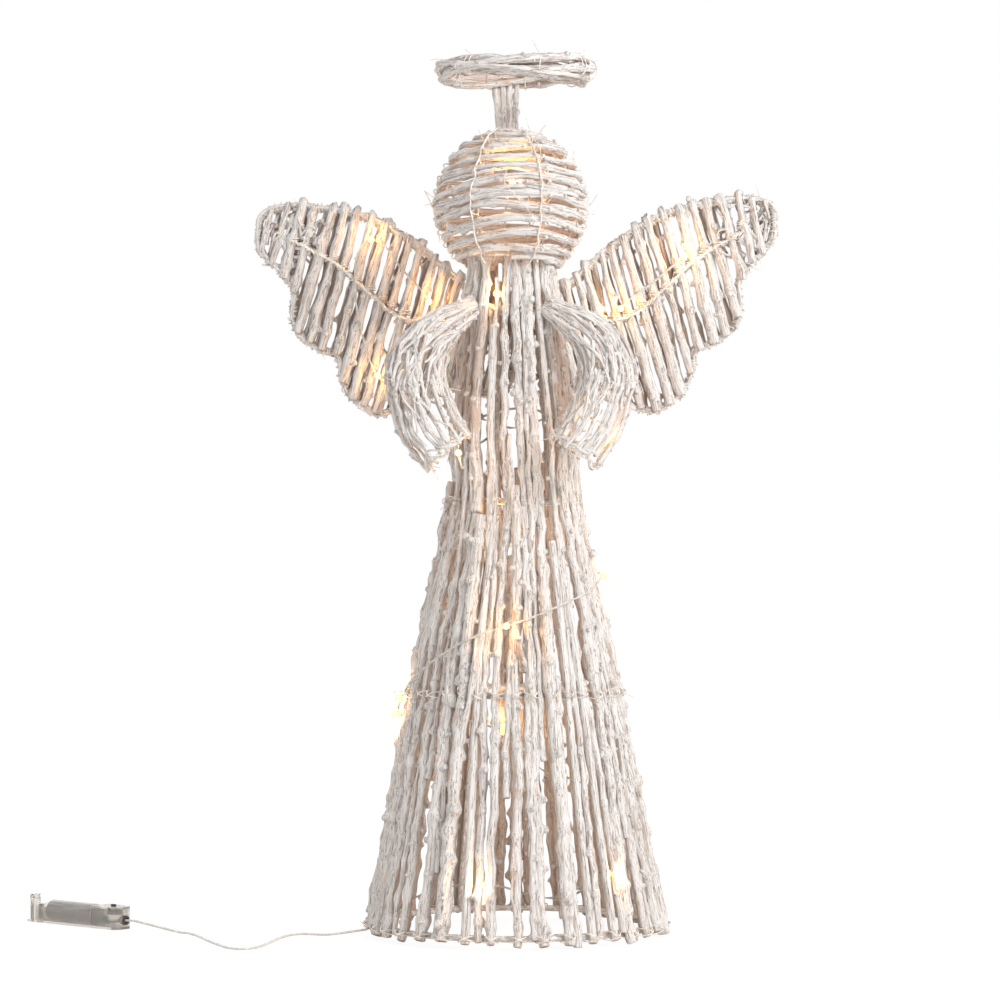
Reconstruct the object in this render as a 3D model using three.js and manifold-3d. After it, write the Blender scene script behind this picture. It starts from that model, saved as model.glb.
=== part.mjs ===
// Lighted rattan angel: an open figure of whitewashed twigs on a wire frame, with a battery light string.
// Millimetres, +Z up, the figure faces -Y. The origin is the middle of the ring of twig ends it stands on.

import * as THREE from 'three';
import { mergeVertices } from 'three/addons/utils/BufferGeometryUtils.js';
import Module from 'manifold-3d';

const wasm = await Module();
wasm.setup();

// Fits shared by all pieces
const restGap = 0.3;
const cutOverrun = 1;
const twigSides = 5;
const rodSides = 12;
const coarseSides = 8;
const smallRodSides = 10;
const weldDistance = 1e-5;
const nearlyParallel = 0.9;

// Skirt and bodice: long sticks on a flared cone, in groups of three whose middle stick stops early
const skirtHeight = 475;
const baseRadius = 103;
const neckRadius = 26.5;
const flarePower = 1.18;
const neckLean = -4;
const stickBaseRadius = 3.5;
const stickNeckRadius = 2.7;
const stickGroups = 12;
const groupSpreadBaseAngle = 10;
const groupSpreadNeckAngle = 7.5;
const stickWobble = 2.2;
const knotReach = 4.5;
const knotSwell = 1.35;
const shortStickHeight = 292;
const chestGapDrop = 51;
const chestGapHeight = skirtHeight - chestGapDrop;
const chestGapIndex = 26;
const shortHeightShares = [1, 0.93, 1.06, 0.9, 1.02, 0.96, 1.08, 0.91, 1, 1.07, 0.94, 1.03];
const knotShares = [0.14, 0.37, 0.62];
const knotShiftShare = 0.05;
const lastRingShare = 0.8;

// Welded wire frame inside the sticks
const hoopWireRadius = 2.2;
const uprightRadius = 1.6;
const neckHoopDrop = 39;
const hoopHeights = { base: 7, mid: 169, waist: 302, neck: skirtHeight - neckHoopDrop };
const hoopSteps = 16;
const baseHoopSteps = 36;
const uprightAngles = [-65, -125, 25, 115];

// Head: one long twig wound in level turns over meridian wires
const headRadius = 54.6;
const headLift = 34;
const headHeight = skirtHeight + headLift;
const headTwigRadius = 3.1;
const headTurnSpacing = 9.4;
const headStep = 18;
const headTopAngle = 9;
const headWireRadius = 1;
const headMeridians = 3;
const headUnevenShare = 0.07;
const headWireSteps = 5;
const headWireSides = 4;

// Halo: one twig wound three laps round a ring, and the bundle of twigs that carries it
const haloRadius = 56.5;
const haloRise = 39.4;
const haloHeight = headHeight + headRadius + haloRise;
const haloTwigRadius = 2.8;
const haloStrandOffset = 3.9;
const haloLaps = 3;
const haloTwists = 4;
const haloStepsPerLap = 32;
const postTwigRadius = 2.5;
const postTwigSpacing = 4.4;
const postTwigCount = 4;
const postCentreX = -7;
const postFootY = 40;
const postTopY = 47;
const postFootSink = 2;

// Wings: outline as shares of half span and height, from the root over the top edge to the tip and back
const wingHalfSpan = 184;
const wingBottomDrop = 110;
const wingBottom = skirtHeight - wingBottomDrop;
const wingHeight = 148;
const wingRimRadius = 2.5;
const wingStickRadius = 3;
const wingStickSpacing = 11.4;
const wingStickSlope = 0.29;
const wingSweep = 0.15;
const wingLean = -0.134;
const wingRootOffset = 6;
const rightWingLift = 7;
const wingRimSteps = 38;
const wingRimTension = 0.35;
const wingRimUnevenShare = 0.06;
const wingFootShare = 1.24;
const wingStickTaperShares = [1.08, 0.94];
const wingStickClearShare = 1.1;
const spineRadius = 1.2;
const spineSteps = 8;
const wingOutlineShares = [
  [0.16, 0.58], [0.3, 0.72], [0.4, 0.82], [0.54, 0.92], [0.67, 0.97], [0.87, 1], [0.98, 0.96],
  [1, 0.88], [0.99, 0.78], [0.91, 0.68], [0.865, 0.6], [0.87, 0.46], [0.84, 0.38], [0.76, 0.31],
  [0.695, 0.285], [0.685, 0.2], [0.655, 0.1], [0.6, 0.04], [0.53, 0], [0.4, 0.05], [0.24, 0.12],
];
const wingRootTopShare = 0.58;
const wingRootBottomShare = 0.12;
const spineShares = [[0.12, 0.42], [0.42, 0.45], [0.57, 0.58], [0.7, 0.72], [0.88, 0.84]];

// Sleeves: half tubes of thin twigs that start bunched at the shoulder
const sleeveTwigRadius = 1.8;
const sleeveTwigCount = 8;
const sleeveSpreadAngle = 168;
const sleeveSteps = 8;
const sleeveBunchRadius = 3.2;
const sleeveRadius = 19;
const sleeveOpenRate = 2.2;
const sleeveBunchDepthShare = 0.35;
const sleeveUnevenShare = 0.1;
const shoulderDrop = 32;
const upperSleeveDrop = 58;
const elbowDrop = 87;
const cuffSideDrop = 117;
const cuffDrop = 138;
const sleevePathPoints = {
  shoulder: [-25.2, -25.2, skirtHeight - shoulderDrop],
  upper: [-57, -34, skirtHeight - upperSleeveDrop],
  elbow: [-70, -42, skirtHeight - elbowDrop],
  cuffSide: [-64, -58, skirtHeight - cuffSideDrop],
  cuff: [-47, -66, skirtHeight - cuffDrop],
};

// Light string, held by the sticks, and its bulbs
const stringRadius = 1;
const stringSides = 4;
const bulbRadius = 2.5;
const bulbLength = 8;
const bulbSeat = 1.6;
const bulbAlongShares = [0, 0.85, 1];
const bulbWidthShares = [0.9, 1, 0.5];

// Light string route. On the skirt: angle in degrees, height, distance off the ring of stick centres.
// On a wing: side, distance from the middle, height. In the open: x, y, z. Bulbs point out, up or front.
const stringRoute = [
  ['skirt', -165, 6, 5], ['skirt', -165, 15, -2], ['skirt', -160, 20, -12], ['skirt', -145, 30, -12],
  ['skirt', -130, 37, -12], ['skirt', -114, 42, -10], ['skirt', -105, 43, -3, 'out'], ['skirt', -96, 41, -10],
  ['skirt', -80, 34, -12], ['skirt', -64, 34, -12], ['skirt', -52, 43, -10], ['skirt', -45, 48, -3, 'out'],
  ['skirt', -38, 54, -10], ['skirt', -20, 70, -12], ['skirt', 0, 82, -12], ['skirt', 20, 90, -12],
  ['skirt', 40, 98, -12], ['skirt', 57, 103, -10], ['skirt', 65, 105, -3, 'out'], ['skirt', 73, 108, -10],
  ['skirt', 85, 122, -12], ['skirt', 97, 136, -12, 'up'], ['skirt', 112, 143, -12], ['skirt', 130, 147, -12],
  ['skirt', 150, 149, -12], ['skirt', 168, 150, -10], ['skirt', 175.4, 151, -1], ['skirt', 176, 153, 7, 'out'],
  ['skirt', 181, 159, 8], ['skirt', 186, 165, 7, 'out'], ['skirt', 194, 172, 7], ['skirt', 204, 180, 7],
  ['skirt', 216, 189, 7], ['skirt', 228, 198, 7], ['skirt', 240, 206, 7], ['skirt', 252, 212, 7],
  ['skirt', 265, 217, 7, 'out'], ['skirt', 278, 222, 7], ['skirt', 292, 228, 7], ['skirt', 307, 234, 7],
  ['skirt', 322, 239, 7], ['skirt', 338, 244, 7], ['skirt', 352, 248, 7], ['skirt', 360, 250, 8, 'out'],
  ['skirt', 369, 252, 7], ['skirt', 375, 254, 0], ['skirt', 380, 256, -10], ['skirt', 396, 260, -11],
  ['skirt', 416, 263, -11], ['skirt', 430, 265, -9], ['skirt', 435, 266, -3, 'out'], ['skirt', 440, 267, -9],
  ['skirt', 460, 271, -11], ['skirt', 482, 274, -11], ['skirt', 490, 275, -9], ['skirt', 495, 276, -3, 'out'],
  ['skirt', 500, 277, -9], ['skirt', 520, 280, -11], ['skirt', 545, 282, -11], ['skirt', 570, 283, -11],
  ['skirt', 595, 283, -11], ['skirt', 622, 284, -11, 'up'], ['skirt', 640, 294, -12], ['skirt', 655, 314, -12],
  ['skirt', 668, 332, -11], ['skirt', 675, 339, -7], ['skirt', 675, 341, 2], ['open', 42, -42, 343],
  ['open', 53, -49, 345], ['open', 58, -52, 351, 'front'], ['open', 54, -49, 358], ['open', 44, -41, 360],
  ['skirt', 675, 360, 2], ['skirt', 675, 362, -7],
  ['skirt', 660, 366, -10], ['skirt', 630, 366, -11], ['skirt', 600, 363, -10], ['skirt', 585, 359, -7],
  ['skirt', 585, 357, 2], ['open', -37, -44, 352], ['open', -40, -54, 344], ['open', -40, -60, 335, 'front'],
  ['open', -38, -58, 326], ['open', -36, -49, 325], ['open', -36, -41, 331], ['skirt', 585, 338, 2],
  ['skirt', 585, 342, -8],
  ['skirt', 595, 350, -15], ['skirt', 608, 374, -16], ['skirt', 610, 400, -14], ['skirt', 608, 425, -13],
  ['skirt', 607.5, 441, -12], ['skirt', 607.5, 446, -6, 'out'], ['skirt', 607.5, 452, -11],
  ['open', -7, -11, 468], ['open', -8, -22, 490], ['open', -7, -31, 510], ['open', -3, -34, 522, 'front'],
  ['open', 3, -30, 526], ['open', 8, -22, 518], ['open', 9, -8, 495], ['open', 6, 2, 468],
  ['open', 0, 5, 440], ['open', -4, 7, 415],
  ['open', -10, 12, 390], ['skirt', 135, 377, -8], ['skirt', 135, 374, 2], ['open', -44, 38, 384],
  ['wing', -1, 54, 415], ['wing', -1, 62, 444, 'front'], ['wing', -1, 82, 468], ['wing', -1, 93, 483],
  ['wing', -1, 103, 488, 'front'], ['wing', -1, 111, 482], ['wing', -1, 115, 465],
  ['wing', -1, 112, 430], ['wing', -1, 99, 392, 'front'], ['wing', -1, 78, 380], ['open', -52, 42, 370],
  ['skirt', 135, 363, 4], ['skirt', 135, 361, -7], ['skirt', 115, 357, -13],
  ['skirt', 90, 354, -14], ['skirt', 62, 357, -12], ['skirt', 45, 361, -7], ['skirt', 45, 363, 3],
  ['open', 40, 39, 376], ['wing', 1, 56, 404], ['wing', 1, 74, 438, 'front'], ['wing', 1, 96, 455],
  ['wing', 1, 120, 474, 'front'],
];

// Lead: the free cable on the floor between the skirt and the battery box
const leadRadius = 1.4;
const leadSides = 8;
const leadRoute = [
  [-237, -6, 1.6], [-229, -14, 1.6], [-221, -30, 1.6], [-214, -50, 1.6], [-207, -70, 1.6], [-200, -87, 1.6],
  [-194, -99, 1.6], [-187, -105, 1.6], [-179, -102, 1.6], [-174, -92, 1.6], [-170, -76, 1.6],
  [-166, -57, 1.6], [-162, -39, 1.6], [-157, -26, 1.6], [-150, -20, 1.6], [-142, -22, 1.7], [-134, -27, 2],
  [-126, -30.5, 2.8],
];

// Battery box, laid out from its near left corner, long side first
const boxCornerX = -347;
const boxCornerY = 68;
const boxYaw = 39.5;
const trayLength = 84;
const trayWidth = 18.4;
const trayWall = 1.4;
const trayFloor = 1.5;
const trayWallHeight = 11.5;
const bayLength = 57;
const compartmentHeight = 14;
const lidThickness = 1.4;
const endChamfer = 4.5;
const screwPostLength = 3;
const screwPostWidth = 6;
const screwPostHeight = 20;
const screwBossRadius = 2.1;
const screwHoleRadius = 0.9;
const footTabLength = 3;
const footTabHeight = 1.6;
const cellRadius = 7.1;
const cellLength = 49.5;
const cellNubRadius = 2.7;
const cellNubLength = 1;
const cellEdge = 0.8;
const cellSides = 16;
const contactThickness = 0.5;
const contactWidth = 11;
const springWireRadius = 0.35;
const springLargeRadius = 4.6;
const springSmallRadius = 2.6;
const springTurns = 2.5;
const springStepsPerTurn = 8;
const springSeatShare = 0.6;
const knobLength = 3.2;
const knobWidth = 2.2;
const knobProud = 1.3;
const knobTravel = 3;
const switchLength = 9;
const switchWidth = 5.6;
const switchHeight = 4.2;
const switchCentre = 74;
const slotClearance = 0.35;
const boardLength = 13;
const boardWidth = 12;
const boardThickness = 1.2;
const boardLegHeight = 2;
const boardLegRadius = 1.1;
const chokeRadius = 2.3;
const chokeHeight = 3.4;
const chokePlaceShare = 0.3;
const grommetRadius = 2.7;
const grommetFlangeRadius = 3.4;
const grommetFlange = 1.2;
const grommetHeight = 6.4;

const radians = Math.PI / 180;
const unitZ = new THREE.Vector3(0, 0, 1);

// Materials, one per finish
const finish = (color, roughness, metalness = 0) => () =>
  new THREE.MeshStandardMaterial({ color, roughness, metalness });
const whitewash = finish(0xd7cdc6, 0.85);
const paintedWire = finish(0xe4dfda, 0.5, 0.1);
const clearCable = finish(0xdcdad6, 0.35);
const clearPlastic = finish(0xc9bfb6, 0.3);
const darkPlastic = finish(0x2a2624, 0.5);
const springSteel = finish(0xb9b6b0, 0.3, 0.9);
const cellSleeve = finish(0x6b6662, 0.4, 0.3);
const boardGreen = finish(0x3e5b45, 0.6);

const angel = new THREE.Group();

function piece(name, geometry, material, parent = angel) {
  const mesh = new THREE.Mesh(geometry, material());
  mesh.name = name;
  parent.add(mesh);
  return mesh;
}

// Solid of rings along a path: radii follow the points, ends are flat, a closed path joins up
function loft(points, radii, { sides = twigSides, closed = false, startAxis, endAxis, outward } = {}) {
  const count = points.length;
  const at = (index) => points[closed ? (index + count) % count : THREE.MathUtils.clamp(index, 0, count - 1)];
  const tangents = points.map((_, i) => at(i + 1).clone().sub(at(i - 1)).normalize());
  if (startAxis) tangents[0] = startAxis.clone();
  if (endAxis) tangents[count - 1] = endAxis.clone();
  const normals = [];
  const seed = outward ? outward.clone() : new THREE.Vector3(0, 0, 1);
  if (Math.abs(seed.dot(tangents[0])) > nearlyParallel) seed.set(1, 0, 0);
  normals.push(seed.addScaledVector(tangents[0], -seed.dot(tangents[0])).normalize());
  const turn = new THREE.Quaternion();
  for (let i = 1; i < count; i += 1) {
    turn.setFromUnitVectors(tangents[i - 1], tangents[i]);
    const carried = normals[i - 1].clone().applyQuaternion(turn);
    normals.push(carried.addScaledVector(tangents[i], -carried.dot(tangents[i])).normalize());
  }
  let drift = 0;
  if (closed) {
    turn.setFromUnitVectors(tangents[count - 1], tangents[0]);
    const carried = normals[count - 1].clone().applyQuaternion(turn);
    const side = new THREE.Vector3().crossVectors(tangents[0], normals[0]);
    drift = Math.atan2(carried.dot(side), carried.dot(normals[0]));
  }
  const positions = [];
  for (let i = 0; i < count; i += 1) {
    const side = new THREE.Vector3().crossVectors(tangents[i], normals[i]);
    for (let k = 0; k < sides; k += 1) {
      const angle = (2 * Math.PI * k) / sides - (drift * i) / count;
      const corner = points[i].clone();
      corner.addScaledVector(normals[i], radii[i] * Math.cos(angle));
      corner.addScaledVector(side, radii[i] * Math.sin(angle));
      positions.push(corner.x, corner.y, corner.z);
    }
  }
  const faces = [];
  const rings = closed ? count : count - 1;
  for (let i = 0; i < rings; i += 1) {
    const a = i * sides;
    const b = ((i + 1) % count) * sides;
    for (let k = 0; k < sides; k += 1) {
      const next = (k + 1) % sides;
      faces.push(a + k, a + next, b + k, b + k, a + next, b + next);
    }
  }
  if (!closed) {
    const last = (count - 1) * sides;
    for (let k = 1; k < sides - 1; k += 1) {
      faces.push(0, k + 1, k, last, last + k, last + k + 1);
    }
  }
  const geometry = new THREE.BufferGeometry();
  geometry.setAttribute('position', new THREE.Float32BufferAttribute(positions, 3));
  geometry.setIndex(faces);
  return geometry;
}

function toSolid(geometry) {
  const bare = geometry.clone();
  bare.deleteAttribute('normal');
  bare.deleteAttribute('uv');
  const merged = mergeVertices(bare, weldDistance);
  const vertProperties = new Float32Array(merged.attributes.position.array);
  return new wasm.Manifold(new wasm.Mesh({
    numProp: 3, vertProperties, triVerts: new Uint32Array(merged.index.array),
  }));
}

function toGeometry(solid) {
  const mesh = solid.getMesh();
  const geometry = new THREE.BufferGeometry();
  geometry.setAttribute('position', new THREE.BufferAttribute(new Float32Array(mesh.vertProperties), 3));
  geometry.setIndex(new THREE.BufferAttribute(new Uint32Array(mesh.triVerts), 1));
  return geometry;
}

function joined(geometries) {
  return toGeometry(geometries.map(toSolid).reduce((whole, part) => whole.add(part)));
}

function cutFrom(geometry, cutters) {
  return toGeometry(cutters.map(toSolid).reduce((whole, cutter) => whole.subtract(cutter), toSolid(geometry)));
}

// Block from its lowest corner and its sizes
function block(corner, size) {
  const box = new THREE.BoxGeometry(...size);
  return box.translate(...corner.map((low, axis) => low + size[axis] / 2));
}

// Cylinder along an axis, from the middle of its first face
function rod(start, radius, length, axis, sides = rodSides) {
  const cylinder = new THREE.CylinderGeometry(radius, radius, length, sides);
  if (axis === 'x') cylinder.rotateZ(-Math.PI / 2).translate(length / 2, 0, 0);
  if (axis === 'z') cylinder.rotateX(Math.PI / 2).translate(0, 0, length / 2);
  return cylinder.translate(...start);
}

// Repeatable handmade unevenness between -1 and 1
const uneven = (a, b) => Math.sin(a * 12.9898 + b * 78.233) * Math.cos(a * 4.1414 + b * 9.7531);

// Places on the skirt: radius of the ring of stick centres, and a point off it
const skirtRadiusAt = (z) => {
  const left = Math.max(0, 1 - z / skirtHeight);
  return neckRadius + (baseRadius - neckRadius) * left ** flarePower;
};
const leanAt = (z) => (neckLean * z) / skirtHeight;
const stickRadiusAt = (z) => THREE.MathUtils.lerp(stickBaseRadius, stickNeckRadius, z / skirtHeight);
function skirtPoint(angle, z, offset = 0) {
  const radius = skirtRadiusAt(z) + offset;
  return new THREE.Vector3(
    leanAt(z) + radius * Math.cos(angle * radians),
    radius * Math.sin(angle * radians),
    z,
  );
}

// One stick: straight cut at the floor, knots as short swellings, wandering less towards the neck
function skirtStick(index) {
  const group = Math.floor(index / 3);
  const place = (index % 3) - 1;
  let top = skirtHeight;
  if (place === 0) top = shortStickHeight * shortHeightShares[group];
  if (index === chestGapIndex) top = chestGapHeight;
  const heights = [0];
  knotShares.forEach((share, knot) => {
    const middle = top * (share + knotShiftShare * uneven(index, knot));
    heights.push(middle - knotReach, middle, middle + knotReach);
  });
  heights.push(top * lastRingShare, top);
  const points = [];
  const radii = [];
  heights.forEach((z, ring) => {
    const climb = z / skirtHeight;
    const spread = THREE.MathUtils.lerp(groupSpreadBaseAngle, groupSpreadNeckAngle, climb);
    const calm = climb * (1 - climb) * 4 * (1 - climb);
    const point = skirtPoint((360 / stickGroups) * group + place * spread, z);
    const out = new THREE.Vector3(point.x - leanAt(z), point.y, 0).normalize();
    const along = new THREE.Vector3(-out.y, out.x, 0);
    point.addScaledVector(along, stickWobble * calm * uneven(index, Math.round(ring / 3)));
    points.push(point);
    const isKnot = ring > 0 && ring < heights.length - 2 && ring % 3 === 2;
    const swell = isKnot ? THREE.MathUtils.lerp(knotSwell, 1, climb) : 1;
    radii.push(stickRadiusAt(z) * swell);
  });
  const outward = new THREE.Vector3(points[0].x, points[0].y, 0).normalize();
  return loft(points, radii, { startAxis: unitZ, endAxis: unitZ, outward });
}

for (let index = 0; index < stickGroups * 3; index += 1) {
  const label = String(index + 1).padStart(2, '0');
  piece(`skirt_stick_${label}`, skirtStick(index), whitewash);
}

// Wire frame: hoops the sticks are tied to, and uprights bent from hoop to hoop
// The base hoop touches the straight stick ends, and the others leave room for knots
const hoopRadiusAt = (z) => {
  const stickReach = stickRadiusAt(z) * (z === hoopHeights.base ? Math.cos(Math.PI / twigSides) : knotSwell);
  return skirtRadiusAt(z) - stickReach - restGap - hoopWireRadius;
};
function frameGeometry() {
  const parts = Object.values(hoopHeights).map((z) => {
    const points = [];
    const steps = z === hoopHeights.base ? baseHoopSteps : hoopSteps;
    for (let k = 0; k < steps; k += 1) {
      const angle = (2 * Math.PI * k) / steps;
      points.push(new THREE.Vector3(
        leanAt(z) + hoopRadiusAt(z) * Math.cos(angle),
        hoopRadiusAt(z) * Math.sin(angle),
        z,
      ));
    }
    return loft(points, points.map(() => hoopWireRadius), { closed: true });
  });
  uprightAngles.forEach((angle) => {
    const points = Object.values(hoopHeights).map((z) => new THREE.Vector3(
      leanAt(z) + hoopRadiusAt(z) * Math.cos(angle * radians),
      hoopRadiusAt(z) * Math.sin(angle * radians),
      z,
    ));
    parts.push(loft(points, points.map(() => uprightRadius)));
  });
  return joined(parts);
}
piece('wire_frame', frameGeometry(), paintedWire);

// Head
const headCentre = new THREE.Vector3(neckLean, 0, headHeight);
const headTurnRadius = headRadius - headTwigRadius;
const headWireTurn = headTurnRadius - headTwigRadius - restGap - headWireRadius;
const headCollarRadius = neckRadius + stickNeckRadius + restGap + headWireRadius;
const headLowAngle = Math.PI - Math.asin(headCollarRadius / headWireTurn);
function onBall(radius, polar, azimuth) {
  return new THREE.Vector3().setFromSphericalCoords(radius, polar, azimuth)
    .applyAxisAngle(new THREE.Vector3(1, 0, 0), Math.PI / 2).add(headCentre);
}
function headWinding() {
  const points = [];
  const dropPerTurn = headTurnSpacing / headTurnRadius;
  let polar = headLowAngle;
  let azimuth = 0;
  while (polar > headTopAngle * radians) {
    points.push(onBall(headTurnRadius, polar, azimuth));
    const stepAngle = Math.min(headStep / (headTurnRadius * Math.sin(polar)), Math.PI / 4);
    azimuth += stepAngle;
    polar -= (dropPerTurn * stepAngle) / (2 * Math.PI);
  }
  const radii = points.map((_, i) => headTwigRadius * (1 - headUnevenShare + headUnevenShare * uneven(i, 3)));
  return { points, geometry: loft(points, radii) };
}
const head = headWinding();
piece('head_winding', head.geometry, whitewash);

function headWires() {
  const parts = [];
  for (let m = 0; m < headMeridians; m += 1) {
    const azimuth = (Math.PI * (m + 0.5)) / headMeridians;
    const points = [];
    for (let i = -headWireSteps; i <= headWireSteps; i += 1) {
      points.push(onBall(headWireTurn, (headLowAngle * i) / headWireSteps, azimuth));
    }
    parts.push(loft(points, points.map(() => headWireRadius), { sides: headWireSides }));
  }
  const collar = [];
  const collarSteps = 2 * stickGroups;
  for (let k = 0; k < collarSteps; k += 1) {
    collar.push(onBall(headWireTurn, headLowAngle, (2 * Math.PI * (k + 0.5)) / collarSteps));
  }
  parts.push(loft(collar, collar.map(() => headWireRadius), { closed: true }));
  return joined(parts);
}
piece('head_wires', headWires(), paintedWire);

// Halo and its post
const haloCoreRadius = haloRadius - haloStrandOffset - haloTwigRadius;
function haloWinding() {
  const steps = haloLaps * haloStepsPerLap;
  const points = [];
  for (let i = 0; i < steps; i += 1) {
    const lap = (2 * Math.PI * haloLaps * i) / steps;
    const twist = (2 * Math.PI * haloTwists * i) / steps;
    const radius = haloCoreRadius + haloStrandOffset * Math.cos(twist);
    points.push(new THREE.Vector3(
      radius * Math.cos(lap),
      radius * Math.sin(lap),
      haloHeight + haloStrandOffset * Math.sin(twist),
    ));
  }
  return { points, geometry: loft(points, points.map(() => haloTwigRadius), { closed: true }) };
}
const halo = haloWinding();
piece('halo_winding', halo.geometry, whitewash);

function haloPost() {
  const parts = [];
  const top = haloHeight - haloStrandOffset - haloTwigRadius - restGap;
  for (let k = 0; k < postTwigCount; k += 1) {
    const side = (k - (postTwigCount - 1) / 2) * postTwigSpacing;
    const x = postCentreX + side;
    const inner = Math.hypot(x - headCentre.x, postFootY - postTwigRadius);
    const foot = headHeight + Math.sqrt((headRadius - postFootSink) ** 2 - inner ** 2) + restGap;
    const points = [0, 0.5, 1].map((share) => new THREE.Vector3(
      x,
      THREE.MathUtils.lerp(postFootY, postTopY, share),
      THREE.MathUtils.lerp(foot, top, share),
    ));
    parts.push(loft(points, points.map(() => postTwigRadius), { startAxis: unitZ, endAxis: unitZ }));
  }
  return joined(parts);
}
piece('halo_post', haloPost(), whitewash);

// Wings: flat fans of leaning sticks whose ends run into a bent rim, on the back of the bodice
const backOffset = stickBaseRadius * knotSwell + restGap + wingStickRadius;
const wingDepth = (x, z) => {
  const back = skirtRadiusAt(wingBottom) + backOffset;
  return back + wingSweep * (Math.abs(x) - wingRootOffset) + wingLean * (z - wingBottom);
};
function wingPoint(side, x, z) {
  const lift = side > 0 ? rightWingLift * (x / wingHalfSpan) ** 2 : 0;
  return new THREE.Vector3(side * x, wingDepth(x, z), z + lift);
}
const wingAt = ([across, up]) => [across * wingHalfSpan, wingBottom + up * wingHeight];
const wingOutline = [
  [wingRootOffset, wingBottom + wingRootBottomShare * wingHeight],
  [wingRootOffset, wingBottom + wingRootTopShare * wingHeight],
  ...wingOutlineShares.map(wingAt),
];

// Longest stretch of a leaning line inside the outline, as its two ends
function wingChord(outline, foot) {
  const across = (z) => foot - wingStickSlope * (z - wingBottom);
  const crossings = [];
  outline.forEach(([x0, z0], i) => {
    const [x1, z1] = outline[(i + 1) % outline.length];
    const side0 = x0 - across(z0);
    const side1 = x1 - across(z1);
    if (side0 * side1 < 0) crossings.push(z0 + ((z1 - z0) * side0) / (side0 - side1));
  });
  crossings.sort((a, b) => a - b);
  let best = null;
  for (let i = 0; i + 1 < crossings.length; i += 2) {
    const length = crossings[i + 1] - crossings[i];
    if (!best || length > best[1] - best[0]) best = [crossings[i], crossings[i + 1]];
  }
  return best && best.map((z) => [across(z), z]);
}

function wing(side) {
  const curve = new THREE.CatmullRomCurve3(
    wingOutline.map(([x, z]) => wingPoint(side, x, z)), true, 'catmullrom', wingRimTension,
  );
  const rim = curve.getSpacedPoints(wingRimSteps).slice(0, wingRimSteps);
  const rimRadii = rim.map((_, i) => wingRimRadius * (1 + wingRimUnevenShare * uneven(i, side)));
  const parts = [loft(rim, rimRadii, { closed: true })];
  const feet = Math.floor((wingHalfSpan * wingFootShare) / wingStickSpacing);
  for (let k = 1; k < feet; k += 1) {
    const chord = wingChord(wingOutline, wingRootOffset + k * wingStickSpacing);
    if (!chord || chord[1][1] - chord[0][1] < 2 * wingStickSpacing) continue;
    const [low, high] = chord;
    const points = [low, high].map(([x, z]) => wingPoint(side, x, z));
    parts.push(loft(points, wingStickTaperShares.map((share) => wingStickRadius * share)));
  }
  return joined(parts);
}

function wingSpine(side) {
  const clear = wingStickRadius * wingStickClearShare + restGap + spineRadius;
  const curve = new THREE.CatmullRomCurve3(spineShares.map((share) => {
    const [x, z] = wingAt(share);
    return wingPoint(side, x, z).add(new THREE.Vector3(0, -clear, 0));
  }));
  const points = curve.getSpacedPoints(spineSteps);
  return loft(points, points.map(() => spineRadius));
}

[['left', -1], ['right', 1]].forEach(([label, side]) => {
  piece(`${label}_wing`, wing(side), whitewash);
  piece(`${label}_wing_spine`, wingSpine(side), paintedWire);
});

// Sleeves
function sleeve(side) {
  const path = new THREE.CatmullRomCurve3(
    Object.values(sleevePathPoints).map(([x, y, z]) => new THREE.Vector3(leanAt(z) - side * x, y, z)),
  );
  const spine = path.getSpacedPoints(sleeveSteps);
  const parts = [];
  for (let k = 0; k < sleeveTwigCount; k += 1) {
    const angle = (k / (sleeveTwigCount - 1) - 0.5) * sleeveSpreadAngle * radians;
    const points = spine.map((point, i) => {
      const share = i / sleeveSteps;
      const tangent = path.getTangentAt(share);
      const front = new THREE.Vector3(0, -1, 0);
      front.addScaledVector(tangent, -front.dot(tangent)).normalize();
      const edge = new THREE.Vector3().crossVectors(tangent, front);
      const open = Math.sin((Math.min(1, share * sleeveOpenRate) * Math.PI) / 2);
      const radius = THREE.MathUtils.lerp(sleeveBunchRadius, sleeveRadius, open);
      const depthShare = THREE.MathUtils.lerp(sleeveBunchDepthShare, 1, open);
      return point.clone().addScaledVector(front, radius * Math.cos(angle) * depthShare)
        .addScaledVector(edge, radius * Math.sin(angle));
    });
    parts.push(loft(points, points.map((_, i) => sleeveTwigRadius * (1 + sleeveUnevenShare * uneven(i, k)))));
  }
  return joined(parts);
}
piece('left_sleeve', sleeve(-1), whitewash);
piece('right_sleeve', sleeve(1), whitewash);

// Light string: one cable along its whole route with the bulbs on it
const stringForward = wingStickRadius * wingStickClearShare + 2 * restGap + 2 * spineRadius + stringRadius;
function routePoint([kind, a, b, c]) {
  if (kind === 'skirt') return skirtPoint(a, b, c);
  if (kind === 'wing') return wingPoint(a, b, c).add(new THREE.Vector3(0, -stringForward, 0));
  return new THREE.Vector3(a, b, c);
}
function bulbAxis([, angle, , , way]) {
  if (way === 'up') return unitZ.clone();
  if (way === 'front') return new THREE.Vector3(0, -1, 0);
  return new THREE.Vector3(Math.cos(angle * radians), Math.sin(angle * radians), 0);
}
function lightString() {
  const points = stringRoute.map(routePoint);
  const parts = [loft(points, points.map(() => stringRadius), { sides: stringSides })];
  stringRoute.forEach((row, i) => {
    if (!row[4]) return;
    const axis = bulbAxis(row);
    const along = bulbAlongShares.map((share) => points[i].clone()
      .addScaledVector(axis, bulbLength * share - bulbSeat));
    parts.push(loft(along, bulbWidthShares.map((share) => bulbRadius * share)));
  });
  return { points, geometry: joined(parts) };
}
const lights = lightString();
piece('light_string', lights.geometry, clearCable);

// Battery box
const box = new THREE.Group();
box.position.set(boxCornerX, boxCornerY, 0);
box.rotation.z = -boxYaw * radians;
angel.add(box);
const trayMiddle = trayWidth / 2;

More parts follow.
